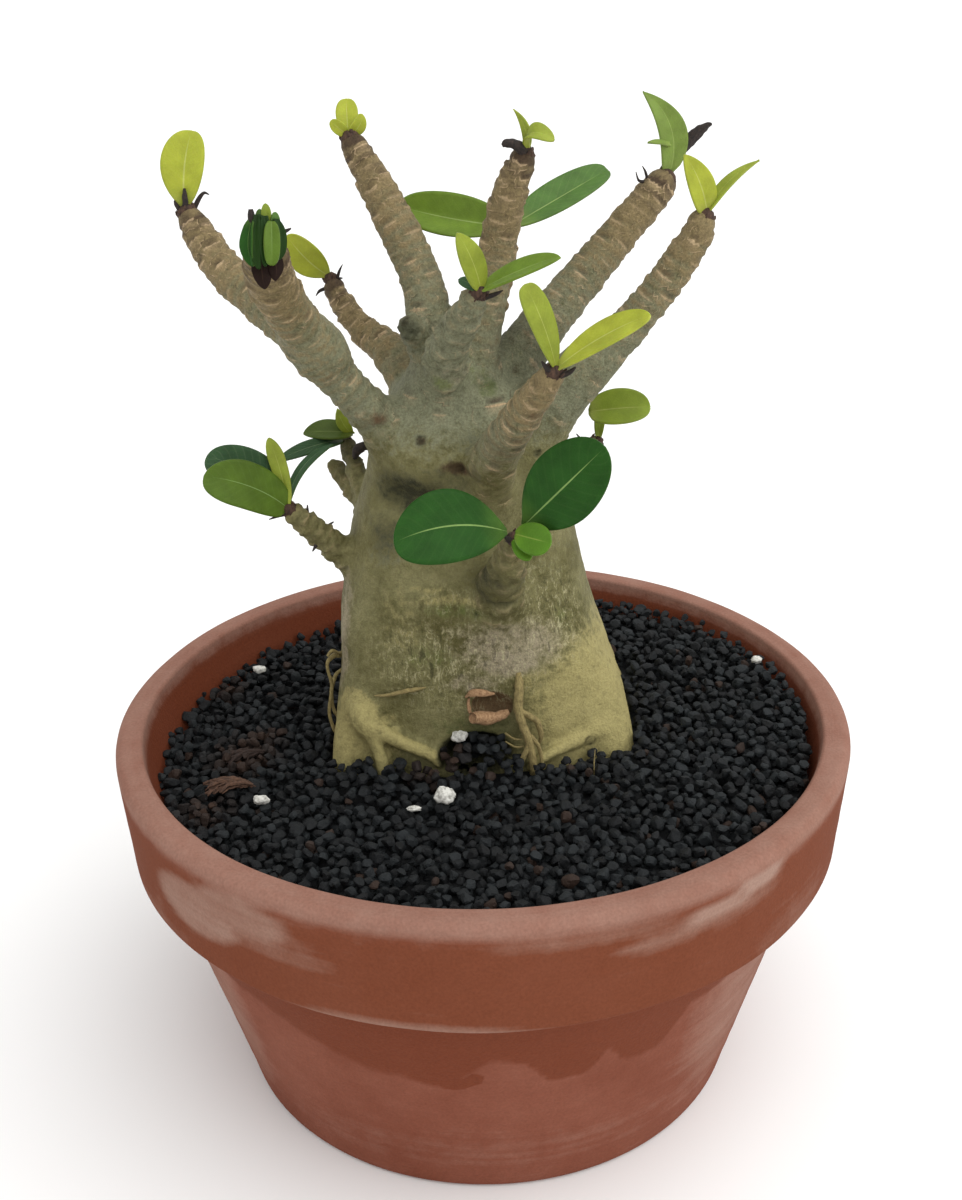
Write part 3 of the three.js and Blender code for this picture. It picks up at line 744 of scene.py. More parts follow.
class Leaf(Enum):
    """The leaves' finishes by age: lime as they open, then fresh and dark, and olive or maroon at the end."""

    LIME = LeafBlade(
        "leaf_lime", Slot.YOUNG_LEAF, "#a1a838", "#a8ae48", "#b5ba66", "#99a048", 0.08, 0.07, 0.45,
    )
    SPRING = LeafBlade(
        "leaf_spring", Slot.YOUNG_LEAF, "#8b9736", "#98a042", "#a8b05a", "#929c3b", 0.08, 0.06, 0.45,
    )
    OLIVE_LIME = LeafBlade(
        "leaf_olive_lime", Slot.YOUNG_LEAF, "#798a2e", "#8b9642", "#949d50", "#8c9548", 0.06, 0.06, 0.45,
    )
    BRIGHT = LeafBlade(
        "leaf_bright", Slot.OLD_LEAF, "#527a20", "#64862c", "#7d9440", "#6d8a30", 0.06, 0.07, 0.42,
    )
    FRESH = LeafBlade(
        "leaf_fresh", Slot.OLD_LEAF, "#4f7032", "#647b3a", "#8c9f5f", "#72853f", 0.08, 0.05, 0.36,
    )
    DARK = LeafBlade(
        "leaf_dark", Slot.OLD_LEAF, "#274d1c", "#46602a", "#84a05c", "#4c6a2c", 0.025, 0.04, 0.4, 0.1,
    )
    BLUE = LeafBlade(
        "leaf_blue_green", Slot.OLD_LEAF, "#3a5638", "#4c6030", "#7f8f6c", "#5d6d38", 0.12, 0.05, 0.4, 0.12,
    )
    OLIVE = LeafBlade(
        "leaf_olive", Slot.OLD_LEAF, "#4d5f25", "#5d6b2e", "#77854a", "#66702f", 0.08, 0.05, 0.42,
    )
    LAWN = LeafBlade("leaf_lawn", Slot.OLD_LEAF, "#67802b", "#738834", "#8ba058", "#7b913c", 0.06, 0.05, 0.4)
    LAWN_DARK = LeafBlade(
        "leaf_lawn_dark", Slot.OLD_LEAF, "#51691f", "#576c26", "#7f9a5a", "#566d24", 0.05, 0.03, 0.42,
    )
    SAGE = LeafBlade(
        "leaf_sage", Slot.YOUNG_LEAF, "#74893f", "#82954c", "#93a35c", "#7f9247", 0.05, 0.04, 0.45,
    )
    DEEP = LeafBlade(
        "leaf_deep", Slot.OLD_LEAF, "#223a15", "#263a1c", "#2f4a26", "#24391c", 0.04, 0.04, 0.5, 0.1,
    )
    MAROON = LeafBlade(
        "leaf_maroon", Slot.OLD_LEAF, "#241814", "#2a1c18", "#3a2c22", "#271e18", 0.1, 0.06, 0.6, 0.1,
    )


# ---------------------------------------------------------------- pot


@dataclass
class Mark:
    """A patch on the pot: where on the wall it is, its half width and height, and how strong it is."""

    x: float
    y: float
    z: float
    wide: float
    high: float
    strength: float = 1.0
    soft: float = 0.4

    def reach(self, points: np.ndarray) -> np.ndarray:
        """Measures how far points are from the patch's middle.

        Args:
            points: Rows of x, y and z.

        Returns:
            Each point's distance, where 1 is the patch's edge.
        """
        turn = math.atan2(self.y, self.x)
        angle = np.arctan2(points[:, 1], points[:, 0]) - turn
        angle = (angle + math.pi) % (2 * math.pi) - math.pi
        across = angle * math.hypot(self.x, self.y) / self.wide
        return np.hypot(across, (points[:, 2] - self.z) / self.high)

    def cover(self, points: np.ndarray) -> np.ndarray:
        """Gives how strongly the patch lies on each point."""
        return self.strength * (1 - smoothstep(self.reach(points), 1 - self.soft, 1 + self.soft))


@dataclass
class TerracottaPot:
    """The thrown pan: foot, tapering body, thick collar, rounded lip and one drain hole."""

    rim_radius: float = 100.0
    height: float = 106.0
    collar_height: float = 32.0
    collar_foot_radius: float = 98.0
    shoulder_radius: float = 91.0
    foot_radius: float = 72.0
    lip_width: float = 8.0
    lip_round: float = 3.0
    edge_round: float = 1.5
    wall: float = 7.0
    floor: float = 9.0
    drain_radius: float = 12.0
    sides: int = 256
    step: float = 2.2
    ridge_gap: float = 3.4
    ridge_depth: float = 0.6
    dry: float = 4.0
    blooms_and_edge_highlight: tuple[Mark, ...] = (
        Mark(-71, -70, 90.2, 16, 7.6, 0.66, 0.2), Mark(-58, -81, 96, 15, 6, 0.6, 0.25),
        Mark(-48, -87, 91.5, 12, 5, 0.3, 0.6), Mark(64, -76, 100.3, 8, 2.6, 1.0),
        Mark(54, -84, 97.5, 11, 2.4, 0.8), Mark(42, -90, 94.5, 15, 2.2, 0.45), Mark(24, -96, 100, 26, 2, 0.3),
        # Mark(-18, -96.5, 75, ...) is a painted highlight along the collar's rounded lower edge, in the bloom
        # colour.
        Mark(58, -80, 96.5, 13, 4.5, 0.34, 0.6), Mark(-18, -96.5, 75, 28, 0.9, 0.55, 0.4),
        Mark(-72, -47, 46, 12, 30, 0.45, 0.7), Mark(66, -52, 46, 18, 30, 0.5, 0.7),
        Mark(0, -80, 16, 70, 9, 0.12, 0.7), Mark(-30, 90, 60, 60, 30, 0.3, 0.7), Mark(80, 50, 90, 30, 8, 0.5),
        Mark(20, 92, 92, 40, 7, 0.4),
    )
    drops: tuple[Mark, ...] = (
        Mark(-7.6, -83.8, 46.6, 4.6, 2.1, 1.0, 0.12), Mark(-2.6, -84.5, 48.2, 2.6, 1.9, 1.0, 0.12),
        Mark(-61, -57, 44.5, 1.6, 1.2, 0.8), Mark(14, -80, 36.5, 1.9, 0.7, 0.7),
        Mark(16.5, -79.6, 35.4, 1.2, 0.8, 0.6),
    )
    tide: tuple[tuple[float, float], ...] = (
        (-180, 62), (-150, 64), (-128, 56), (-108, 46), (-98, 45), (-90, 55), (-84, 54), (-80, 46), (-74, 46),
        (-70, 54), (-67, 47), (-60, 47), (-55, 60), (-30, 68), (0, 64), (30, 50), (60, 58), (90, 52),
        (120, 60), (150, 50), (180, 62),
    )  # angle in degrees and the level down to which the wall under the collar is damp
    warms: tuple[Mark, ...] = (
        Mark(80, -58, 90, 26, 18, 0.9, 0.6), Mark(60, -78, 80, 20, 10, 0.5), Mark(-86, -30, 84, 16, 18, 0.4),
    )

    def inner_radius(self, z: float) -> float:
        """Works out the cavity's radius.

        Args:
            z: A height above the foot.

        Returns:
            The radius there.
        """
        collar_foot = self.height - self.collar_height
        if z < collar_foot:
            share = (z - self.floor) / (collar_foot - self.floor)
            return self.foot_radius - self.wall + share * (self.shoulder_radius - self.foot_radius)
        share = (z - collar_foot) / self.collar_height
        inside = self.shoulder_radius - self.wall
        return inside + share * (self.rim_radius - self.lip_width - inside)

    def profile(self) -> list[tuple[float, float]]:
        """Draws the wall's section from the drain hole round to it again.

        Returns:
            Its points, as radius and height.
        """

        def arc(
            r: float, z: float, radius: float, start: float, end: float, steps: int
        ) -> list[tuple[float, float]]:
            """Gives points on an arc in degrees."""
            turns = [math.radians(start + (end - start) * i / steps) for i in range(steps + 1)]
            return [(r + radius * math.cos(a), z + radius * math.sin(a)) for a in turns]

        collar_foot = self.height - self.collar_height
        top, edge = self.height, self.edge_round
        corners = [
            *arc(self.drain_radius + 1, 1, 1, 180, 270, 3),
            *arc(self.foot_radius - self.lip_round, self.lip_round, self.lip_round, -90, -15, 6),
            *arc(self.shoulder_radius + 1.2, collar_foot - 1.6, 1.4, 170, 100, 4),
            *arc(self.collar_foot_radius - edge, collar_foot + edge, edge, -90, 0, 5),
            *arc(self.rim_radius - self.lip_round, top - self.lip_round, self.lip_round, 0, 90, 8),
            *arc(self.rim_radius - self.lip_width + edge, top - edge, edge, 90, 180, 5),
            (self.inner_radius(collar_foot), collar_foot),
            *arc(self.inner_radius(self.floor + 4) - 4, self.floor + 4, 4, 0, -90, 5),
            *arc(self.drain_radius + 1, self.floor - 1, 1, 90, 180, 3),
        ]
        fine = []
        for (r0, z0), (r1, z1) in zip(corners, corners[1:] + corners[:1]):
            parts = max(1, round(math.hypot(r1 - r0, z1 - z0) / self.step))
            fine += [(r0 + (r1 - r0) * i / parts, z0 + (z1 - z0) * i / parts) for i in range(parts)]
        return fine

    def build(self) -> None:
        """Spins the section, presses the throwing lines in and dresses the clay."""
        bm = bmesh.new()
        ring = [bm.verts.new((r, 0, z)) for r, z in self.profile()]
        edges = [bm.edges.new((a, b)) for a, b in zip(ring, ring[1:] + ring[:1])]
        about = {"cent": (0, 0, 0), "axis": (0, 0, 1), "angle": 2 * math.pi}
        bmesh.ops.spin(bm, geom=ring + edges, steps=self.sides, use_merge=True, **about)
        bmesh.ops.remove_doubles(bm, verts=bm.verts, dist=1e-4)
        bmesh.ops.recalc_face_normals(bm, faces=bm.faces)
        mesh = to_mesh(bm, "terracotta_pot")
        spots = vertex_rows(mesh)
        facing = vertex_rows(mesh, "normal")
        radius = np.hypot(spots[:, 0], spots[:, 1])
        lathe = np.column_stack([spots[:, :2] * 0.012, (spots[:, 2] + radius) / self.ridge_gap])
        ridge = scatter(lathe, 1.0) * 0.16 + scatter(spots, 30, 4.0) * 0.3 + scatter(spots, 9, 9.0) * 0.07
        side = 1 - np.abs(facing[:, 2]) * (spots[:, 2] < 5)
        moved = spots - facing * ((0.45 - ridge) * side * self.ridge_depth)[:, None]
        mesh.vertices.foreach_set("co", moved.ravel())
        self.dress(mesh, spots, facing)
        finish_piece("terracotta_pot", mesh, [TERRACOTTA], ["pot"])

    def dress(self, mesh: bpy.types.Mesh, spots: np.ndarray, facing: np.ndarray) -> None:
        """Marks bloom, damp and warm clay, which the clay's material reads. The bloom also holds a painted
        highlight along the collar's lower edge, and the damp holds painted shade on the inner wall under the
        lip.

        Args:
            mesh: The pot.
            spots: Its vertices, before the throwing lines.
            facing: The way each one faces.
        """
        x, y, z = spots.T
        collar_foot = self.height - self.collar_height
        outer = facing[:, 0] * x + facing[:, 1] * y > -0.3 * np.hypot(x, y)
        lip = smoothstep(z, self.height - 6.5, self.height - 2)
        bloom_and_edge_highlight = 0.5 * lip
        for mark in self.blooms_and_edge_highlight:
            bloom_and_edge_highlight = np.maximum(bloom_and_edge_highlight, mark.cover(spots) * outer)
        line = np.interp(np.degrees(np.arctan2(y, x)), *np.transpose(self.tide))
        line += 1.6 * scatter(spots, 9, 2.0)
        body = np.clip((line - z) * 0.5, -0.9, self.dry)
        # The inner wall darkens to the damp colour from 2 to 8 mm under the lip: damp clay and painted shade
        # inside the pot.
        inside = 0.4 - 3 * smoothstep(self.height - z, 2, 8)
        damp_and_inner_shade = np.where(outer & (z < collar_foot + 0.5), body, np.where(outer, self.dry, inside))
        for mark in self.drops:
            damp_and_inner_shade -= 3.5 * mark.cover(spots) * outer
        warm = 0.85 * outer * smoothstep(z, collar_foot - 0.5, collar_foot + 1) * (1 - lip)
        for mark in self.warms:
            warm = np.maximum(warm, mark.strength * (1 - smoothstep(mark.reach(spots), 0.3, 1.3)))
        set_attribute(mesh, "marks", "FLOAT_VECTOR", np.column_stack([bloom_and_edge_highlight, damp_and_inner_shade, warm]))


# ---------------------------------------------------------------- caudex


TRUNK: tuple[Row, ...] = (
    (58, 0, 11, 10, 8, 2), (64, 0, 11, 24, 17, 2.2), (76, 0, 11, 36, 25, 2.5), (90, 0, 11, 41, 28, 3),
    (101, 0, 11, 39.5, 27.5, 3), (121, -2, 11, 37, 27, 2.6), (141, -4, 11, 33, 26, 2.2),
    (158, -4.3, 10, 29.4, 24, 2), (177, -3, 8, 25, 21, 2), (187, -4, 8, 21, 18, 2), (196, -5, 8, 14, 13, 2),
    (204, -5, 8, 6, 6, 2),
)  # height, centre x and y, half width, half depth, squareness


class Growth(Enum):
    """How a stem grows: its foot's fillet as a share of its radius, young bark's share, and its tip's age."""

    LIMB = (0.8, 1.0, 0.0)
    FORK = (0.9, 1.0, 34.0)
    SLIM = (0.45, 1.0, 0.0)
    OLD = (0.8, 0.95, 9.0)
    TWIG = (0.8, 0.25, 4.0)
    ROOT = (0.8, 0.0, 0.0)

    def __init__(self, fillet: float, young: float, age: float) -> None:
        """Names the three numbers. The age is in millimetres of growth."""
        self.fillet, self.young, self.age = fillet, young, age


BRANCHES: dict[str, tuple[Growth, tuple[Row, ...]]] = {
    "left_fork": (Growth.FORK, (
        (-8, 8, 172, 10.5), (-18.2, 4, 181, 7.9), (-29.6, -2, 195, 5.1), (-38.6, -6, 208.4, 5.4),
        (-42, -7, 213.5, 5.6),
    )),
    "far_left": (Growth.LIMB, (
        (-38, -6, 209, 5.4), (-53, 4, 219, 5.3), (-61.8, 10, 225, 4.7), (-67.4, 14, 232.2, 4.1),
        (-71.6, 17, 239, 3),
    )),
    "left_front": (Growth.LIMB, (
        (-38.4, -6, 209, 5.4), (-44.3, -16, 222.4, 5.5), (-46, -27, 232, 5.3), (-45, -37, 242, 4.4),
    )),
    "left_back": (Growth.LIMB, (
        (-9, 14, 184, 9), (-21.8, 26, 198.2, 5.2), (-29.8, 32, 203.6, 3.6), (-35.2, 35, 210.2, 3),
        (-38.4, 37, 217, 2.4),
    )),
    "centre_left": (Growth.LIMB, (
        (-7, 8, 192, 8.5), (-11.3, 10, 212, 5.9), (-13.4, 13, 222, 5.2), (-22.6, 20, 241, 4.6),
        (-30.5, 25, 255, 2.9),
    )),
    "centre": (Growth.LIMB, (
        (-3.6, 5, 194, 7.8), (1.6, 5, 212, 5.6), (5.7, 6, 229, 4.6), (9.4, 4, 244.5, 4),
        (13.3, 3, 253.6, 2.7),
    )),
    "centre_back": (Growth.SLIM, ((2, 9, 208, 4.2), (7, 16, 222, 3.3), (9.6, 22, 232, 2.3))),
    "centre_twig": (Growth.TWIG, ((-7.4, 0, 198, 6.2), (-6.2, -11, 210.6, 4.7), (1.5, -25, 227, 2.6))),
    "right_back": (Growth.SLIM, (
        (1, 9, 182, 9.5), (9.8, 14, 198.4, 7.1), (30, 26, 219.6, 5.3), (46.8, 34, 237.2, 4.4),
        (51.4, 36, 242, 3.4),
    )),
    "right": (Growth.OLD, (
        (7, 4, 168, 9.5), (18.4, 0, 191.6, 8), (38.1, -3, 212.6, 4.8), (51.5, -4, 231, 4),
        (55.5, -4, 239.5, 2.9),
    )),
    "front": (Growth.OLD, (
        (1, -4, 168, 8), (5, -22, 187, 5.3), (13, -38, 205, 3.8), (17.6, -44, 213.6, 2.7),
    )),
    "low_front": (Growth.TWIG, ((3, -3, 138, 9), (5, -17, 148, 6), (7, -30, 162, 3.6), (8.6, -37, 171, 2.3))),
    "low_right": (Growth.TWIG, ((12, 10, 153, 6), (23, 13, 163, 3.3), (32.4, 17, 176.4, 2.1))),
    "low_left": (Growth.TWIG, (
        (-22, 11, 135, 7.5), (-32, 8, 145, 4.6), (-44, 1, 159.5, 3), (-49.2, -2, 166, 2.3),
    )),
    "left_stub": (Growth.TWIG, ((-20, 12, 152, 7), (-31.4, 20, 160, 3.4), (-41, 28, 168.6, 2.0))),
    "cut_stub": (Growth.TWIG, ((-12, 8, 207.6, 4.5), (-15.6, 2.2, 211.4, 3.3), (-16.8, -1.4, 212.8, 3.1))),
    "low_back": (Growth.TWIG, ((-24, 15, 156, 4.5), (-31, 18, 164, 2.9), (-35.6, 25, 175, 1.8))),
}
ROOTS: tuple[tuple[Row, ...], ...] = (
    (
        (-30, -4, 111, 7), (-31.3, -13, 109, 3.4), (-25.5, -15.6, 105.9, 2.3), (-19.9, -16.8, 103.2, 1.9),
        (-13.5, -17.4, 100.2, 1.6), (-10.5, -18, 97, 1.4),
    ),
    ((-30.5, -12.5, 107.5, 3.2), (-29.1, -15.6, 104.5, 2), (-27.6, -16.8, 99.5, 1.7), (-27, -17.2, 94, 1.6)),
    ((-30, 2, 106, 8), (-35, -6, 99, 6), (-37, -10, 90, 4.5)),
    (
        (30, -10.8, 103, 2.4), (24.9, -14.2, 101.9, 1.8), (20.2, -16.6, 100.8, 1.5), (15.5, -18.6, 99.3, 1.4),
        (12, -19.5, 96, 1.3),
    ),
    ((29, 2, 108, 9), (34, -5, 99, 7), (36, -9, 90, 5)), ((30, 24, 106, 8), (37, 31, 97, 5), (41, 37, 88, 3)),
    ((-26, 26, 106, 8), (-34, 35, 97, 5), (-38, 40, 87, 3)),
    ((4, 32, 106, 8), (6, 42, 97, 5), (7, 47, 87, 3)),
)


@dataclass
class Hollow:
    """A rounded hollow in the wood, as an ellipsoid."""

    centre: Point
    radii: Point

    def depth(self, points: np.ndarray) -> np.ndarray:
        """Measures about how far points are outside the hollow.

        Args:
            points: Rows of x, y and z.

        Returns:
            Each point's distance, in millimetres.
        """
        away = (points - self.centre) / self.radii
        near = np.linalg.norm(away, axis=1)
        steep = np.linalg.norm(away / self.radii, axis=1)
        return near * (near - 1) / np.maximum(steep, 1e-6)


@dataclass
class Patch:
    """A soft patch of the wood: its middle, half width and height, and how strong it is."""

    x: float
    y: float
    z: float
    wide: float
    high: float
    strength: float = 1.0

    def cover(self, points: np.ndarray) -> np.ndarray:
        """Works out how strongly the patch lies on points.

        Args:
            points: Rows of x, y and z.

        Returns:
            Its strength on each one.
        """
        flat = np.hypot(points[:, 0] - self.x, points[:, 1] - self.y)
        away = np.hypot(flat / self.wide, (points[:, 2] - self.z) / self.high)
        return self.strength * (1 - smoothstep(away, 0.3, 1.2))


@dataclass
class Stem:
    """A round stem of the wood, from the wood that it grows out of to its tip."""

    rows: tuple[Row, ...]
    growth: Growth
    path: np.ndarray = field(init=False)
    radii: np.ndarray = field(init=False)
    length: np.ndarray = field(init=False)
    frames: np.ndarray = field(init=False)

    def __post_init__(self) -> None:
        """Draws the curve through the rows in short steps."""
        count = 12 * (len(self.rows) - 1)
        table = np.array([spline(self.rows, i / count) for i in range(count + 1)])
        self.path, self.radii = table[:, :3], table[:, 3]
        self.length = np.concatenate([[0], np.cumsum(np.linalg.norm(np.diff(self.path, axis=0), axis=1))])
        keep = self.length <= self.length[-1] - 0.85 * self.radii[-1]
        self.path, self.radii, self.length = self.path[keep], self.radii[keep], self.length[keep]
        self.frames = np.array([np.array(m.to_3x3()) for m in ring_frames([Vector(p) for p in self.path])])

    def shell(self) -> tuple[np.ndarray, np.ndarray]:
        """Rounds the stem's end.

        Returns:
            Its path and its radii, with the end's own.
        """
        turns = np.radians([35, 62, 82])
        rise = self.path[-1] + self.radii[-1] * np.outer(np.sin(turns), self.frames[-1][:, 2])
        return np.vstack([self.path, rise]), np.append(self.radii, self.radii[-1] * np.cos(turns))

    def nearest(self, points: np.ndarray) -> tuple[np.ndarray, np.ndarray, np.ndarray]:
        """Finds each point's place by the stem.

        Args:
            points: Rows of x, y and z.

        Returns:
            Distance outside the bark, the unit way out, and the length along the stem.
        """
        best = np.full(len(points), 1e9)
        out = np.zeros_like(points)
        place = np.zeros(len(points))
        for i in range(len(self.path) - 1):
            a, b = self.path[i], self.path[i + 1]
            run = b - a
            t = np.clip((points - a) @ run / (run @ run), 0, 1)
            away = points - (a + t[:, None] * run)
            far = np.linalg.norm(away, axis=1)
            gap = far - (self.radii[i] + t * (self.radii[i + 1] - self.radii[i]))
            closer = gap < best
            best[closer] = gap[closer]
            out[closer] = away[closer] / np.maximum(far[closer], 1e-6)[:, None]
            place[closer] = (self.length[i] + t * (self.length[i + 1] - self.length[i]))[closer]
        return best, out, place

    def angle(self, out: np.ndarray, place: np.ndarray) -> np.ndarray:
        """Turns each way out to an angle round the stem.

        Args:
            out: Unit ways out of the bark.
            place: The length along the stem of each.

        Returns:
            The angles, in radians.
        """
        i = np.clip(np.searchsorted(self.length, place), 0, len(self.length) - 1)
        across, up = (np.einsum("ij,ij->i", out, self.frames[i, :, k]) for k in (0, 1))
        return np.arctan2(up, across)


@dataclass
class ScarField:
    """Leaf scars: for each vertex its nearest scar, and how far the pad under it swells the bark.

    A scar's attribute is how far across it the vertex is (1 at its end), how far above its rim in
    millimetres, and how clear it is.
    """

    count: int
    step: float = 0.9
    turn: float = math.radians(137.5)
    ring_gap: float = 2.5
    widest: float = 2.4
    fading: float = 55.0
    mark: np.ndarray = field(init=False)
    near: np.ndarray = field(init=False)
    pad: np.ndarray = field(init=False)
    ring: np.ndarray = field(init=False)

    def __post_init__(self) -> None:
        """Starts with smooth bark."""
        self.mark = np.tile([3.0, 3.0, 0.0], (self.count, 1))
        self.near = np.full(self.count, 9.0)
        self.pad, self.ring = np.zeros(self.count), np.zeros(self.count)

    def add(
        self,
        here: np.ndarray,
        across: np.ndarray,
        rise: np.ndarray,
        wide: float,
        clear: np.ndarray | float,
        swell: float,
    ) -> None:
        """Adds one scar with its pad.

        Args:
            here: The numbers of the vertices that it may reach.
            across: Their distance sideways from it.
            rise: Their distance towards the branch's tip from it.
            wide: Its half width.
            clear: How clear it is.
            swell: The height of its pad.
        """
        side = across / wide
        above = rise - 0.22 * np.minimum(side * side, 2)
        close = np.hypot(side, above / 1.5)
        closer = close < self.near[here]
        self.near[here[closer]] = close[closer]
        self.mark[here[closer]] = np.column_stack([side, above, np.broadcast_to(clear, side.shape)])[closer]
        ramp = np.where(above < 0, np.exp(above / 1.7), np.exp(-((above / 0.5) ** 2)))
        bump = swell * (ramp - 0.35 * np.exp(-(((above - 1.1) / 0.6) ** 2))) * np.exp(-((side / 1.25) ** 2))
        self.pad[here] = np.where(np.abs(bump) > np.abs(self.pad[here]), bump, self.pad[here])

    def climb(
        self, here: np.ndarray, stem: Stem, points: np.ndarray, free: np.ndarray, random: np.random.Generator
    ) -> None:
        """Sets scars in a spiral down a branch.

        Args:
            here: The numbers of the branch's vertices.
            stem: The branch.
            points: Its vertices.
            free: How clear of the trunk each one is, from 0 to 1.
            random: The source of chance.
        """
        _, out, place = stem.nearest(points)
        turn = stem.angle(out, place)
        slim = np.interp(place, stem.length, stem.radii)
        twig = stem.growth is Growth.TWIG
        wobble = 1.6 * np.sin(turn + 0.4 * place)
        ridge = np.sin(FULL_TURN * place / self.ring_gap + wobble + random.uniform(0, 6))
        self.ring[here] = ridge * free * (0.35 + 0.65 * np.exp((place - stem.length[-1]) / 40))
        lower, angle = 0.7, random.uniform(0, FULL_TURN)
        while lower < stem.length[-1] - 3:
            spot = stem.length[-1] - lower
            radius = float(np.interp(spot, stem.length, stem.radii))
            age = math.exp(-(lower + stem.growth.age) / self.fading)
            across = ((turn - angle + math.pi) % (2 * math.pi) - math.pi) * slim
            wide = min(self.widest, 0.56 * radius) * random.uniform(0.75, 1.2)
            clear = random.uniform(0.25, 1.0) * (0.3 + 0.7 * age) * (0.35 if twig else 1.0)
            swell = (0.3 + 0.42 * age) * min(1.0, radius / 3.5) * random.uniform(0.6, 1.2)
            self.add(here, across, place - spot, wide, clear * free, swell * (1.5 if twig else 1.0))
            angle += self.turn + random.uniform(-0.22, 0.22)
            lower += self.step * random.uniform(0.8, 1.25) * (1 + 1.3 * (1 - age))


STAINS_AND_PAINTED_LIGHT: dict[str, tuple[Patch, ...]] = {
    "yellow": (
        Patch(-32, -8, 104, 15, 13, 0.85), Patch(-8, -18, 144.6, 15, 2.6, 0.5),
        Patch(-14, -17, 147.4, 9, 1.6, 0.5), Patch(-21, -14, 138, 11, 16, 0.3),
        Patch(14, -16, 121, 10, 5, 0.5),
    ),
    "grey": (Patch(-25, -10, 157, 12, 9, 0.35), Patch(18, -10, 160, 14, 20, 0.3)),
    "pink": (
        # Patch(-36, 2, 125, ...) paints a pale sheen along the trunk's left edge.
        Patch(9, -17, 131, 22, 11, 0.62), Patch(8, -17, 127, 13, 6, 0.75), Patch(-36, 2, 125, 7, 30, 0.6),
        Patch(-2, -17, 121, 12, 5, 0.5), Patch(0, -18, 135, 16, 6, 0.4), Patch(-5, -11, 203, 9, 6, 0.35),
    ),
    # painted shade under the crown's bulge, the forks and the leaves, at branch feet and in creases; two
    # patches also darken the dark bark of stubs
    "shade": (
        Patch(-34, 24, 172, 8, 8, 0.6), Patch(-16, -12, 171, 18, 9, 0.75),
        Patch(-18, -11, 171.6, 15, 8, 0.92), Patch(-7, -13, 176, 10, 6, 0.5), Patch(11, 8, 205, 15, 16, 0.5),
        Patch(-6.5, -6, 203, 5, 4.6, 0.5), Patch(10, -20, 194.5, 9, 8, 0.45),
        Patch(-17, -1, 212.8, 4.6, 4.8, 0.75), Patch(2, -21, 151, 10, 7, 0.6),
        Patch(-26, -10, 162, 9, 11, 0.6), Patch(-6, -15, 166, 9, 7, 0.5), Patch(5, -21, 147.8, 8, 2.0, 0.75),
        Patch(8, -28, 192, 8, 9, 0.35), Patch(5, -24, 157, 10, 8, 0.7), Patch(-3, -20, 180.5, 7, 2.4, 0.5),
        Patch(1, -8, 184, 9, 6, 0.4), Patch(2, 0, 198, 6, 4, 0.45), Patch(10, -8, 176, 5, 10, 0.4),
        Patch(-32, -10, 187, 8, 6, 0.5), Patch(0, -17.5, 108, 14, 3.5, 0.45),
    ),
    "fissure": (
        Patch(-6, -17, 127, 28, 16, 1.0), Patch(20, -12, 138, 14, 17, 1.1), Patch(16, -14, 152, 10, 10, 0.6),
        Patch(-6, -18, 144, 16, 6, 0.6),
    ),
    "moss": (
        Patch(-6, -18, 142, 14, 3.6, 0.5), Patch(24, -11, 138, 7, 9, 0.5), Patch(-2, -18, 108, 16, 6, 0.45),
        Patch(2, -1, 197, 5, 4, 0.7), Patch(-8, -9, 201, 4, 4, 0.6), Patch(-14, -15, 128, 10, 6, 0.4),
        Patch(2, -5, 203, 8, 8, 0.35),
    ),
    "rust": (
        Patch(-23.6, -8, 191, 5, 3, 0.62), Patch(-13.8, -10.8, 186.6, 2, 1.5, 0.7),
        Patch(-4.3, -13, 180.3, 6, 2.4, 0.9), Patch(13, -38, 203, 5, 5, 0.5),
        Patch(28.8, -12, 101.8, 2.4, 2, 0.6),
    ),
}  # where each look of the bark lies, besides what follows from the wood's shape; the shade patches are painted shade
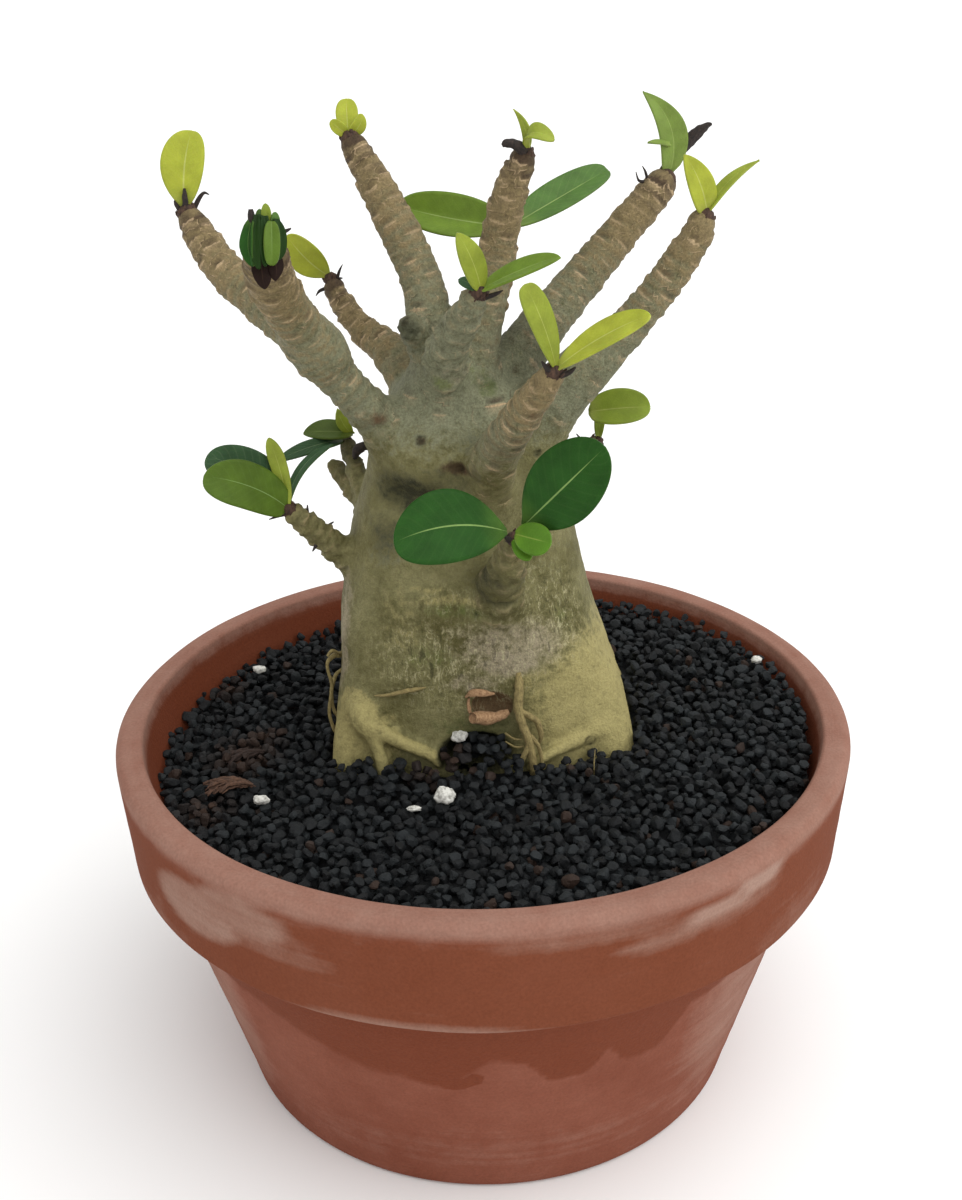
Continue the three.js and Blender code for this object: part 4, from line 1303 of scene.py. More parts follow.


@dataclass
class Caudex:
    """The plant's wood, grown as one: swollen trunk, roots and branches, ringed by leaf scars."""

    base: float = 90.0
    coarse_voxel: float = 1.2
    voxel: float = 0.8
    trunk_sides: int = 64
    stem_sides: int = 20
    trunk_fillet: float = 6.5
    arch_round: float = 2.0
    hollow_round: float = 0.7
    far: float = 16.0
    seed: int = 11
    arch: Hollow = field(default_factory=lambda: Hollow((-2, -22, 100), (10, 14, 6.6)))
    hollows: tuple[Hollow, ...] = (
        Hollow((2.6, -18.6, 114.6), (6, 4.6, 4)), Hollow((28.8, -13, 101.8), (1.6, 2.4, 1.3)),
        Hollow((-4.3, -13.4, 180.4), (3, 1.6, 1.2)), Hollow((-13.8, -10.6, 186.6), (1.1, 1.5, 1.1)),
        Hollow((15, -7.2, 181.7), (0.9, 1.4, 0.7)),
    )
    swells: tuple[Patch, ...] = (
        Patch(-14, -11, 183, 13, 11, 2.2), Patch(-19, -11, 168.5, 12, 7, -3.0),
        Patch(-7, -8, 200.5, 3.6, 3, 1.1), Patch(4, -20, 147.6, 10, 2.4, -1.0), Patch(4, -24, 153, 9, 5, 0.9),
        Patch(-13, -12, 188, 4, 3, -0.7), Patch(-24, -8, 192, 5, 4, 0.9), Patch(9, -8, 178, 5, 8, -1.0),
        Patch(-5, -18, 178, 6, 4, -1.3), Patch(0, -8, 191, 3, 9, -0.8), Patch(-16, -9, 195, 5, 3, -0.7),
    )
    rims: tuple[tuple[float, float, float, float, float], ...] = (
        (-7.6, -8, 197.6, 2.6, 0.9), (4.9, -2, 193.2, 2.9, 1.0), (-30.6, -8, 196.7, 3.0, 0.9),
        (1.5, -8, 202.5, 2.2, 0.7), (-21, -10, 190, 2.2, 0.45), (8, -12, 186, 2.4, 0.5),
        (-9, -11, 192, 1.8, 0.35), (-25, -8, 203, 2.6, 0.5), (12, -6, 192, 2.2, 0.4),
        (-16.5, -9, 195, 2.0, 0.35),
    )  # x, y, z, half width and clearness of old scars on the crown

    def __post_init__(self) -> None:
        """Draws every stem."""
        self.branches = {name: Stem(rows, growth) for name, (growth, rows) in BRANCHES.items()}
        self.roots = [Stem(rows, Growth.ROOT) for rows in ROOTS]
        self.stems = [*self.branches.values(), *self.roots]
        heights = [row[0] for row in TRUNK]
        steps = np.arange(self.base, heights[-1] + 0.1, 2.0)
        spots = np.interp(steps, heights, np.linspace(0, 1, len(heights)))
        self.sections = np.array([spline(TRUNK, t) for t in spots])
        self.sections[:, 0] = steps

    def trunk_shell(self, bm: bmesh.types.BMesh) -> None:
        """Extrudes the trunk's rings from its base to the crown.

        Args:
            bm: The wood's rough mesh.
        """
        ring = bmesh.ops.create_circle(bm, cap_ends=True, radius=1, segments=self.trunk_sides)["verts"]
        edges = list({e for v in ring for e in v.link_edges})
        turns = {v: math.atan2(v.co.y, v.co.x) for v in ring}
        for z, x, y, wide, deep, square in self.sections:
            for v in ring:
                u, w = math.cos(turns[v]), math.sin(turns[v])
                reach = (abs(u) ** square + abs(w) ** square) ** (1 / square)
                v.co = (x + u / reach * wide, y + w / reach * deep, z)
            if z == self.sections[-1, 0]:
                break
            old = {tuple(v.co): turns[v] for v in ring}
            grown = bmesh.ops.extrude_edge_only(bm, edges=edges)["geom"]
            ring = [g for g in grown if isinstance(g, bmesh.types.BMVert)]
            edges = [g for g in grown if isinstance(g, bmesh.types.BMEdge)]
            turns = {v: old[tuple(v.co)] for v in ring}
        bmesh.ops.edgeloop_fill(bm, edges=edges)

    def trunk_distance(self, points: np.ndarray) -> tuple[np.ndarray, np.ndarray]:
        """Finds each point's place by the trunk.

        Args:
            points: Rows of x, y and z.

        Returns:
            Distance outside the trunk, and the way out.
        """
        z = np.clip(points[:, 2], self.sections[0, 0], self.sections[-1, 0])
        levels, *columns = self.sections.T
        x, y, wide, deep, square = (np.interp(z, levels, column) for column in columns)
        dx, dy = points[:, 0] - x, points[:, 1] - y
        reach = ((np.abs(dx) / wide) ** square + (np.abs(dy) / deep) ** square) ** (1 / square)
        far = np.hypot(dx, dy)
        gap = far - far / np.maximum(reach, 1e-6)
        over = points[:, 2] - z
        gap = np.where(over != 0, np.maximum(gap, 0) + np.abs(over), gap)
        out = np.column_stack([dx, dy, np.zeros(len(dx))]) / np.maximum(far, 1e-6)[:, None]
        out[over != 0] = (0, 0, 1)
        return gap, out

    def field(self, points: np.ndarray) -> tuple[np.ndarray, np.ndarray, np.ndarray]:
        """Joins trunk and stems with soft fillets.

        Args:
            points: Rows of x, y and z.

        Returns:
            Distance outside the wood, the way out, and the number of the nearest stem, or -1 for the trunk.
        """
        gap, out = self.trunk_distance(points)
        nearest = gap.copy()
        owner = np.full(len(points), -1)
        for number, stem in enumerate(self.stems):
            low, high = stem.path.min(0) - self.far, stem.path.max(0) + self.far
            here = np.flatnonzero(np.all((points > low) & (points < high), axis=1))
            if not len(here):
                continue
            own, way, place = stem.nearest(points[here])
            own_radius = np.interp(place, stem.length, stem.radii)
            blend = np.minimum(stem.growth.fillet * own_radius, self.trunk_fillet)
            near = np.clip(1 - np.abs(gap[here] - own) / blend, 0, 1)
            share = np.clip(0.5 + 0.5 * (gap[here] - own) / blend, 0, 1)
            owner[here[own < nearest[here]]] = number
            nearest[here] = np.minimum(nearest[here], own)
            gap[here] = np.minimum(gap[here], own) - near * near * blend / 4
            out[here] = out[here] * (1 - share)[:, None] + way * share[:, None]
        for hollow, soft in [(self.arch, self.arch_round), *((h, self.hollow_round) for h in self.hollows)]:
            inside = -hollow.depth(points)
            near = np.clip(1 - np.abs(gap - inside) / soft, 0, 1)
            share = np.clip(0.5 + 0.5 * (inside - gap) / soft, 0, 1)
            away = (points - hollow.centre) / np.square(hollow.radii)
            away /= -np.maximum(np.linalg.norm(away, axis=1), 1e-6)[:, None]
            out = out * (1 - share)[:, None] + away * share[:, None]
            gap = np.maximum(gap, inside) + near * near * soft / 4
        return gap, out, owner

    def settle(self, points: np.ndarray, rounds: int) -> np.ndarray:
        """Moves points on to the wood's surface.

        Args:
            points: Rows of x, y and z near it.
            rounds: How often they are moved.

        Returns:
            The points where they come to.
        """
        for _ in range(rounds):
            gap, out, _ = self.field(points)
            size = np.einsum("ij,ij->i", out, out)
            points = points - (np.clip(gap, -1.5, 1.5) / np.maximum(size, 0.3))[:, None] * out
            points[:, 2] = np.maximum(points[:, 2], self.base)
        return points

    def remesh(self, mesh: bpy.types.Mesh, voxel: float, rounds: int) -> bpy.types.Mesh:
        """Gives a mesh an even skin, which is then settled on the wood's surface.

        Args:
            mesh: The mesh, which is used up.
            voxel: The skin's grain.
            rounds: How often the skin's vertices are moved.

        Returns:
            The new mesh.
        """
        holder = bpy.data.objects.new("caudex_skin", mesh)
        bpy.context.scene.collection.objects.link(holder)
        skin = holder.modifiers.new("skin", "REMESH")
        skin.mode, skin.voxel_size = "VOXEL", voxel
        even = bpy.data.meshes.new_from_object(holder.evaluated_get(bpy.context.evaluated_depsgraph_get()))
        bpy.data.objects.remove(holder)
        bpy.data.meshes.remove(mesh)
        even.vertices.foreach_set("co", self.settle(vertex_rows(even), rounds).ravel())
        even.update()
        return even

    def flatten_base(self, mesh: bpy.types.Mesh) -> None:
        """Joins the faces of the flat base, which the grit hides, to one.

        Args:
            mesh: The wood.
        """
        bm = bmesh.new()
        bm.from_mesh(mesh)
        flat = [f for f in bm.faces if all(v.co.z < self.base + 0.02 for v in f.verts)]
        bmesh.ops.dissolve_faces(bm, faces=flat, use_verts=True)
        bm.to_mesh(mesh)
        bm.free()

    def build(self) -> np.ndarray:
        """Builds the wood.

        Returns:
            Its vertices, which the grit keeps clear of.
        """
        bm = bmesh.new()
        self.trunk_shell(bm)
        for stem in self.stems:
            tube(bm, *stem.shell(), self.stem_sides)
        bmesh.ops.recalc_face_normals(bm, faces=bm.faces)
        mesh = self.remesh(to_mesh(bm, "caudex_wood"), self.coarse_voxel, 5)
        mesh = self.remesh(mesh, self.voxel, 3)
        self.flatten_base(mesh)
        points = self.roughen(mesh)
        mesh.name = "caudex_wood"
        finish_piece("caudex_wood", mesh, [BARK], ["caudex"])
        return points

    def roughen(self, mesh: bpy.types.Mesh) -> np.ndarray:
        """Raises scars, rings and lumps on the wood, and dresses it.

        Args:
            mesh: The wood's smooth skin.

        Returns:
            Its vertices after that.
        """
        points = vertex_rows(mesh)
        _, _, owner = self.field(points)
        free = smoothstep(self.trunk_distance(points)[0], -0.5, 4.5)
        scars = ScarField(len(points))
        youth = np.zeros(len(points))
        random = np.random.default_rng(self.seed)
        for number, stem in enumerate(self.branches.values()):
            here = np.flatnonzero(owner == number)
            place = stem.nearest(points[here])[2]
            from_tip = stem.length[-1] - place + stem.growth.age
            youth[here] = 1.15 * np.exp(-from_tip / 36.0) * free[here] * stem.growth.young
            scars.climb(here, stem, points[here], free[here], random)
        front = np.flatnonzero((points[:, 1] < 12) & (points[:, 2] > 170) & (free < 0.8))
        for x, y, z, wide, clear in self.rims:
            here = front[np.hypot(points[front, 0] - x, points[front, 2] - z) < 6]
            scars.add(here, points[here, 0] - x, points[here, 2] - z, wide, clear, 0.25)
        trunk = 1 - free
        lump = scatter(points, 15, 3.0) * (0.18 + 0.5 * trunk)
        lump += scatter(points, 5.5, 7.0) * (0.12 + 0.14 * trunk)
        crown = smoothstep(points[:, 2], 166, 186) * (points[:, 2] < 215)
        twig = np.isin(owner, [i for i, stem in enumerate(self.stems) if stem.growth is Growth.TWIG])
        lump += scatter(points, 4.0, 5.0) * 0.35 * crown + scatter(points, 1.8, 8.0) * 0.75 * twig * free
        fine = scatter(points, 2.0, 1.0)
        lump += fine * (0.19 - 0.08 * trunk) + scars.pad + 0.15 * scars.ring
        youth += 0.14 * scars.ring
        for swell in self.swells:
            lump += swell.cover(points)
        moved = points + vertex_rows(mesh, "normal") * lump[:, None]
        moved[:, 2] = np.where(points[:, 2] <= self.base + 0.01, points[:, 2], moved[:, 2])
        mesh.vertices.foreach_set("co", moved.ravel())
        mesh.update()
        set_attribute(mesh, "scar", "FLOAT_VECTOR", scars.mark)
        self.dress(mesh, moved, owner, free, youth, np.clip(-fine - 0.2, 0, 1) * (0.5 + 0.6 * twig))
        return moved

    def dress(
        self,
        mesh: bpy.types.Mesh,
        points: np.ndarray,
        owner: np.ndarray,
        free: np.ndarray,
        youth: np.ndarray,
        crease: np.ndarray,
    ) -> None:
        """Writes the bark's age, its wear and its painted shade, which its material reads.

        Args:
            mesh: The wood.
            points: Its vertices.
            owner: The number of each one's stem.
            free: How clear of the trunk each one is.
            youth: How young each vertex's bark is.
            crease: How deep in a crease it lies, which is painted as shade.
        """

        def strongest(look: str, *layers: np.ndarray) -> np.ndarray:
            """Gives the strongest of a look's patches and some more layers on each vertex."""
            patches = [patch.cover(points) for patch in STAINS_AND_PAINTED_LIGHT[look]]
            return np.clip(np.max([*patches, *layers], axis=0), 0, 1.2)

        def within(hollow: Hollow, start: float, end: float) -> np.ndarray:
            """Gives 1 in a hollow, and less from start to end outside it."""
            return 1 - smoothstep(hollow.depth(points), start, end)

        x, z = points[:, 0], points[:, 2]
        root = (owner >= len(self.branches)) * smoothstep(self.trunk_distance(points)[0], -1, 2.5)
        right = smoothstep(x, 0, 24) * (1 - smoothstep(z, 108 + 0.35 * x, 134 + 0.35 * x))
        yellow = strongest("yellow", 0.85 * right, 0.75 * root)
        grey = strongest("grey", 0.85 * smoothstep(z, 172, 196)) * (1 - 0.4 * youth)
        set_attribute(mesh, "age", "FLOAT_COLOR", np.column_stack([youth, yellow, grey, strongest("pink")]))
        # Painted shade from the shade patches, the small pits, the creases and the inside of the root arch.
        pits = [0.6 * within(hollow, 0.1, 0.9) for hollow in self.hollows[1:]]
        shade = strongest("shade", *pits, crease, 0.9 * within(self.arch, 0.2, 1.5))
        fissure = strongest("fissure", 0.12 * (1 - free))
        rust = strongest("rust", 1.2 * within(self.hollows[0], 0.0, 1.0))
        set_attribute(mesh, "wear_and_painted_shade", "FLOAT_COLOR", np.column_stack([shade, fissure, strongest("moss"), rust]))


@dataclass(frozen=True)
class Strand:
    """A thin root, flake or dried bit.

    Its rows are x, y, z and radius. Flat is its thickness as a share of its width, and rolled opens its
    start.
    """

    rows: tuple[Row, ...]
    flat: float = 1.0
    rolled: bool = False


@dataclass
class Strands:
    """Thin pieces that grow on the wood, each with a rough skin."""

    name: str
    finish: DeadFibre
    strands: tuple[Strand, ...]
    sides: int = 10
    steps: int = 9
    rough: float = 0.22

    def build(self) -> None:
        """Builds every strand as a rough tube."""
        bm = bmesh.new()
        spot = bm.verts.layers.float_vector.new("blade")
        for number, strand in enumerate(self.strands):
            count = self.steps * (len(strand.rows) - 1)
            table = [spline(strand.rows, i / count) for i in range(count + 1)]
            made = tube(bm, [row[:3] for row in table], [row[3] for row in table], self.sides, strand.flat)
            if strand.rolled:
                cap = next(f for f in made[0].link_faces if len(f.verts) == self.sides)
                bmesh.ops.inset_region(bm, faces=[cap], thickness=0.24 * table[0][3], use_even_offset=True)
                mouth, inner = Vector(table[0][:3]), Vector(table[4][:3])
                bmesh.ops.translate(bm, vec=mouth.lerp(inner, 0.9) - mouth, verts=cap.verts)
            for i, v in enumerate(made):
                place = i // self.sides
                size = table[place][3]
                v[spot] = (math.cos(FULL_TURN * (i % self.sides) / self.sides), place * 0.3, number)
                v.co += Vector(noise.noise_vector(v.co / 1.6)) * self.rough * min(size, 1.2)
        bmesh.ops.recalc_face_normals(bm, faces=bm.faces)
        finish_piece(self.name, to_mesh(bm, self.name), [self.finish], ["caudex"])


FINE_ROOTS = Strands("caudex_fine_roots", ROOTLET, (
    Strand((
        (9.7, -15, 123.5, 0.8), (9.9, -16.9, 119.9, 1.25), (9.5, -18.2, 115.3, 1.3),
        (10.4, -19.2, 110.7, 1.2), (12.2, -20.6, 105.9, 1.15), (13.2, -21, 99.5, 1.1), (13.4, -21, 96, 1),
    )),
    Strand((
        (10, -18.4, 114, 0.8), (12, -18.6, 112.6, 0.9), (14.4, -18.6, 110.6, 0.85),
        (15.5, -18.8, 106.8, 0.75), (15, -18.6, 103.8, 0.3),
    )),
    Strand((
        (12.2, -21, 105.8, 0.6), (11.2, -21.4, 102.6, 0.75), (9.9, -21.2, 100, 0.7), (9, -21, 97.5, 0.5),
    )),
    Strand((
        (12.6, -20.5, 107.5, 0.6), (14.8, -20.4, 104, 0.6), (15.6, -20.6, 99.5, 0.5),
        (15.8, -20.6, 96.5, 0.4),
    )),
    Strand((
        (-37, 10, 119, 0.5), (-38.9, 8, 118.4, 0.9), (-41, 6, 118.8, 0.75), (-42.6, 4, 117, 0.5),
        (-41.6, 3, 111, 0.5), (-42.6, 1.5, 104, 0.5), (-41.6, 0, 99.5, 0.5), (-40, -1, 96, 0.4),
    )),
    Strand((
        (-38, 9, 113.5, 0.5), (-40.6, 7, 112.5, 0.55), (-42, 5, 108.2, 0.55), (-41.6, 3, 104.2, 0.5),
        (-40, 2, 100.8, 0.5), (-38.5, 0, 97, 0.5),
    )),
    Strand(((-39, 6, 119.5, 0.3), (-41, 5, 121, 0.5), (-42.4, 4.5, 119.6, 0.4))),
    Strand((
        (-28.6, -13.4, 116.6, 0.2), (-25, -14.9, 117.5, 0.5), (-20, -16, 119.2, 0.65),
        (-16.4, -16.3, 120.0, 0.45), (-14.6, -16, 120.2, 0.15),
    ), 0.6),
    Strand(((29.6, -22.5, 104, 0.12), (29.3, -23.8, 101.5, 0.16), (29.1, -26.5, 98.5, 0.12))),
    Strand(((6, -18, 107, 0.25), (8.4, -19.5, 106, 0.3), (10.5, -20, 106.2, 0.2))),
    Strand(((6, -18.6, 104.8, 0.2), (8.6, -20, 103.8, 0.3), (10.8, -20.6, 104.4, 0.2))),
))
BARK_FLAP = Strands("caudex_bark_flap", PEELED, (
    Strand((
        (-2.6, -20.8, 113.3, 1.5), (-0.9, -19.4, 112.5, 1.8), (1.8, -18.6, 112, 1.75),
        (4.6, -17.8, 112.2, 1.4), (7, -17, 112.8, 0.8),
    ), 0.9, True),
    Strand((
        (-4.4, -16.4, 117.2, 0.3), (-2.4, -17.2, 118.8, 1.0), (0.6, -17.6, 119.0, 0.9),
        (3.4, -17.2, 118.4, 0.3),
    ), 0.4),
    Strand(((-3.4, -16.8, 117, 0.5), (-3.6, -17.4, 114.8, 0.6), (-2.8, -17.9, 112.6, 0.5)), 0.5),
), sides=14, rough=0.3)
DRIED_BITS = Strands("caudex_dried_stalks", DRIED, (
    Strand((
        (13, 2, 253, 1.3), (11.4, 0.8, 255, 1.3), (9.6, 0.4, 255.8, 1.1), (8.2, 0.2, 255.8, 1.0),
        (7.4, 0, 255.4, 0.5),
    ), 0.8),
    Strand((
        (48.5, 34.5, 239.2, 0.6), (45.6, 33.4, 240.8, 0.5), (43.4, 33, 241.4, 0.4), (42.6, 33, 243.6, 0.15),
    ), 0.7),
    Strand(((45.6, 33.4, 240.8, 0.4), (45.2, 33.2, 243.2, 0.35), (44.2, 33, 245, 0.12))),
    Strand((
        (51.6, 39.4, 241.4, 0.8), (54, 41.4, 246, 1.5), (56.8, 42, 249.4, 2.3), (59.6, 42.4, 251.8, 2.0),
        (61.8, 42.6, 253.4, 1.2), (63.2, 42.8, 253.8, 0.4),
    ), 0.45),
    Strand((
        (-69.8, 17.4, 238.5, 0.7), (-68.3, 18, 241.4, 0.6), (-66.9, 18.4, 242.9, 0.4),
        (-65.6, 18.6, 242.4, 0.12),
    )),
    Strand(((-72, 16.4, 237.5, 0.7), (-73.6, 16.2, 240.4, 0.5), (-74, 16, 241.6, 0.15))),
    Strand(((-71.4, 16, 238.5, 0.8), (-71.3, 16, 242.4, 0.7), (-71.2, 16.4, 244.4, 0.3))),
    Strand(((-46.4, -37.5, 243, 0.8), (-47.2, -37.8, 246.4, 0.9), (-47.4, -37.6, 248.6, 0.5))),
    Strand(((-43, -38, 242, 0.7), (-41, -37.4, 243.4, 0.6), (-39.2, -36.6, 244.2, 0.2))),
    Strand(((-48.6, -2.2, 165, 0.6), (-51.4, -3.6, 164.6, 0.45), (-54, -4.4, 164, 0.15))),
    Strand(((-46, -0.6, 161.6, 0.7), (-44.6, 0, 163.8, 0.5), (-44.4, 0.2, 166, 0.15))),
    Strand(((-41.4, 2, 157, 0.7), (-40, 3, 158.6, 0.5), (-38.2, 3.6, 159.8, 0.15))),
    Strand(((-42.6, -1.6, 155.4, 0.6), (-43.6, -2.6, 154, 0.15))),
    Strand((
        (-33, 18, 172.5, 0.8), (-31.8, 18, 174.8, 1.3), (-30.2, 18, 175.6, 1.2), (-28.8, 18, 174.8, 0.5),
    )),
    Strand(((-34.6, 21, 170, 0.6), (-33, 20.4, 172, 0.5), (-32.6, 20, 173.6, 0.15))),
    Strand(((31, 16.4, 174, 0.6), (28.4, 16, 176.4, 0.45), (26.6, 16, 178.6, 0.15))),
    Strand(((17.6, -44.6, 212.6, 0.8), (15.6, -45, 214.6, 0.6), (14.6, -45.2, 216, 0.2))),
    Strand(((18.6, -44.6, 212.4, 0.8), (20.8, -45, 213.4, 0.6), (22, -45.4, 214.6, 0.2))),
    Strand(((-38.4, 36.4, 214.5, 0.7), (-36.4, 36, 216.6, 0.5), (-35, 35.8, 217, 0.15))),
    Strand(((-39.4, 36, 214.4, 0.6), (-41.4, 35.6, 213.6, 0.4), (-42.4, 35.4, 212.4, 0.12))),
    Strand(((-36.6, 36, 216, 0.5), (-35.8, 36, 218.8, 0.35), (-34.8, 36, 220.6, 0.1))),
    Strand(((7.8, -37.4, 170.4, 0.9), (6.8, -38.6, 171.4, 0.7), (6, -39.6, 172.6, 0.2))),
    Strand(((2.8, -25.4, 225.6, 0.7), (5, -26.6, 226.6, 0.5), (6.6, -27.4, 227.6, 0.15))),
))


# ---------------------------------------------------------------- leaves


@dataclass
class Blade:
    """One leaf: its tip, full width, the way its upper face looks, its finish, and how it bends."""

    tip: Point
    width: float
    facing: Point
    finish: Leaf
    arch: float = 1.0
    sway: float = 0.0
    widest: float = 0.58
    point: float = 0.5
    wedge: float = 1.0
    fold: float = 0.18
    wave: float = 0.0
    lean: float = 0.0
    start: Point | None = None

    columns: ClassVar[int] = 14
    stations: ClassVar[int] = 28
    stalk: ClassVar[float] = 0.75
    edge: ClassVar[float] = 0.12

    def outline(self, t: float) -> float:
        """Draws the leaf's edge.

        Args:
            t: The place from stalk to tip, from 0 to 1.

        Returns:
            The half width there, for a full width of 2.
        """
        if t < self.widest:
            return (1 - (1 - t / self.widest) ** 2) ** self.wedge
        return max(0.0, 1 - ((t - self.widest) / (1 - self.widest)) ** 2) ** self.point

    def build(self, bm: bmesh.types.BMesh, foot: Vector, number: int) -> None:
        """Adds the blade, thick at its midrib and thin at its edge.

        Args:
            bm: The spray's mesh.
            foot: Where the leaves of the branch come out.
            number: The material number of its finish.
        """
        spot = bm.verts.layers.float_vector.get("blade") or bm.verts.layers.float_vector.new("blade")
        start = Vector(self.start) if self.start else foot
        run = Vector(self.tip) - start
        heading = run.normalized()
        up = Vector(self.facing)
        up = (up - heading * up.dot(heading)).normalized()
        side = heading.cross(up)
        grid = bmesh.ops.create_grid(bm, x_segments=self.columns, y_segments=self.stations, size=1)["verts"]
        thickness = {}
        for v in grid:
            across, t = v.co.x, 1 - (1 - (v.co.y + 1) / 2) ** 1.6
            half = max(self.outline(t) * self.width / 2, self.stalk * (1 - t) ** 2, self.edge)
            half *= 1 + self.lean * math.copysign(1, across)
            bow = 4 * t * (1 - t)
            lift = self.arch * bow + self.fold * half * (math.hypot(across, 0.16) - 0.16)
            lift += self.wave * half * 0.2 * math.sin(9 * t + (2.0 if across > 0 else 0.0)) * across * across
            v[spot] = (across, t, 1.0)
            v.co = start + run * t + side * (across * half + self.sway * bow) + up * lift
            rib = math.exp(-((across * half / 0.55) ** 2)) * (1 - t)
            thickness[v] = (0.22 + 0.14 * (1 - abs(across)), rib)
        faces = list({f for v in grid for f in v.link_faces})
        edges = list({e for v in grid for e in v.link_edges})
        for face in faces:
            face.material_index = number
        bmesh.ops.recalc_face_normals(bm, faces=faces)
        if sum((f.normal for f in faces), Vector()).dot(up) < 0:
            bmesh.ops.reverse_faces(bm, faces=faces)
        copy = bmesh.ops.duplicate(bm, geom=[*grid, *edges, *faces])
        under = [g for g in copy["geom"] if isinstance(g, bmesh.types.BMVert)]
        under_faces = [g for g in copy["geom"] if isinstance(g, bmesh.types.BMFace)]
        to_top = {b: a for a, b in copy["vert_map"].items() if b in set(under)}
        ways = {v: v.normal.copy() if v.normal.length else up for v in grid}
        for v in under:
            v[spot] = (v[spot][0], v[spot][1], 0.0)
            half, rib = thickness[to_top[v]]
            v.co -= ways[to_top[v]] * (half + 0.5 * rib)
        for v in grid:
            half, rib = thickness[v]
            v.co += ways[v] * (half - 0.2 * rib)
        bmesh.ops.reverse_faces(bm, faces=under_faces)
        rim = [e for e in edges if len(e.link_faces) == 1]
        rim += [g for g in copy["geom"] if isinstance(g, bmesh.types.BMEdge) and len(g.link_faces) == 1]
        wall = bmesh.ops.bridge_loops(bm, edges=rim)["faces"]
        for face in wall:
            face.material_index = number
        bmesh.ops.recalc_face_normals(bm, faces=faces + under_faces + wall)


@dataclass
class Spray:
    """The leaves of one branch's tip, which come out of a ring of small brown scales."""

    name: str
    blades: tuple[Blade, ...]
    scales: int = 8

    def build(self) -> None:
        """Builds the blades, and the scaly end of the branch that they come out of."""
        rows = BRANCHES[self.name][1]
        tip = Vector(rows[-1][:3])
        heading = (Vector(spline(rows, 1.0)[:3]) - Vector(spline(rows, 0.97)[:3])).normalized()
        radius = rows[-1][3]
        bm = bmesh.new()
        kinds = list(dict.fromkeys(blade.finish for blade in self.blades))
        for blade in self.blades:
            blade.build(bm, tip + heading * 0.3, kinds.index(blade.finish))
        spot = bm.verts.layers.float_vector["blade"]
        random = np.random.default_rng(len(self.name) * 7 + int(abs(tip.x)))
        reach = [-1.6, -0.4, 0.4, 1.0, 1.4]
        widths = [w * radius for w in (0.8, 0.86, 0.7, 0.48, 0.15)]
        made = tube(bm, [tip + heading * r for r in reach], widths, 14)
        side = heading.orthogonal().normalized()
        for i in range(self.scales):
            out = Matrix.Rotation(i * 2.4 + random.uniform(-0.3, 0.3), 3, heading) @ side
            foot = tip + heading * random.uniform(-1.6, 0.5) + out * radius * 0.7
            peak = foot + heading * random.uniform(0.7, 1.5) + out * random.uniform(0.05, 0.4)
            middle = (foot + peak) / 2 + out * 0.2
            made += tube(bm, [foot - heading * 0.8, middle, peak], [0.6, 0.45, 0.1], 6, 0.6)
        for v in made:
            v[spot] = (v.co.x * 0.3, v.co.z * 0.4, 0.3)
            v.co += Vector(noise.noise_vector(v.co * 0.9)) * 0.2
        for face in {f for v in made for f in v.link_faces}:
            face.material_index = len(kinds)
        mesh = to_mesh(bm, f"spray_{self.name}")
        finishes = [*(kind.value for kind in kinds), SCALES]
        finish_piece(f"spray_{self.name}", mesh, finishes, [f"leaves_{self.name}"])


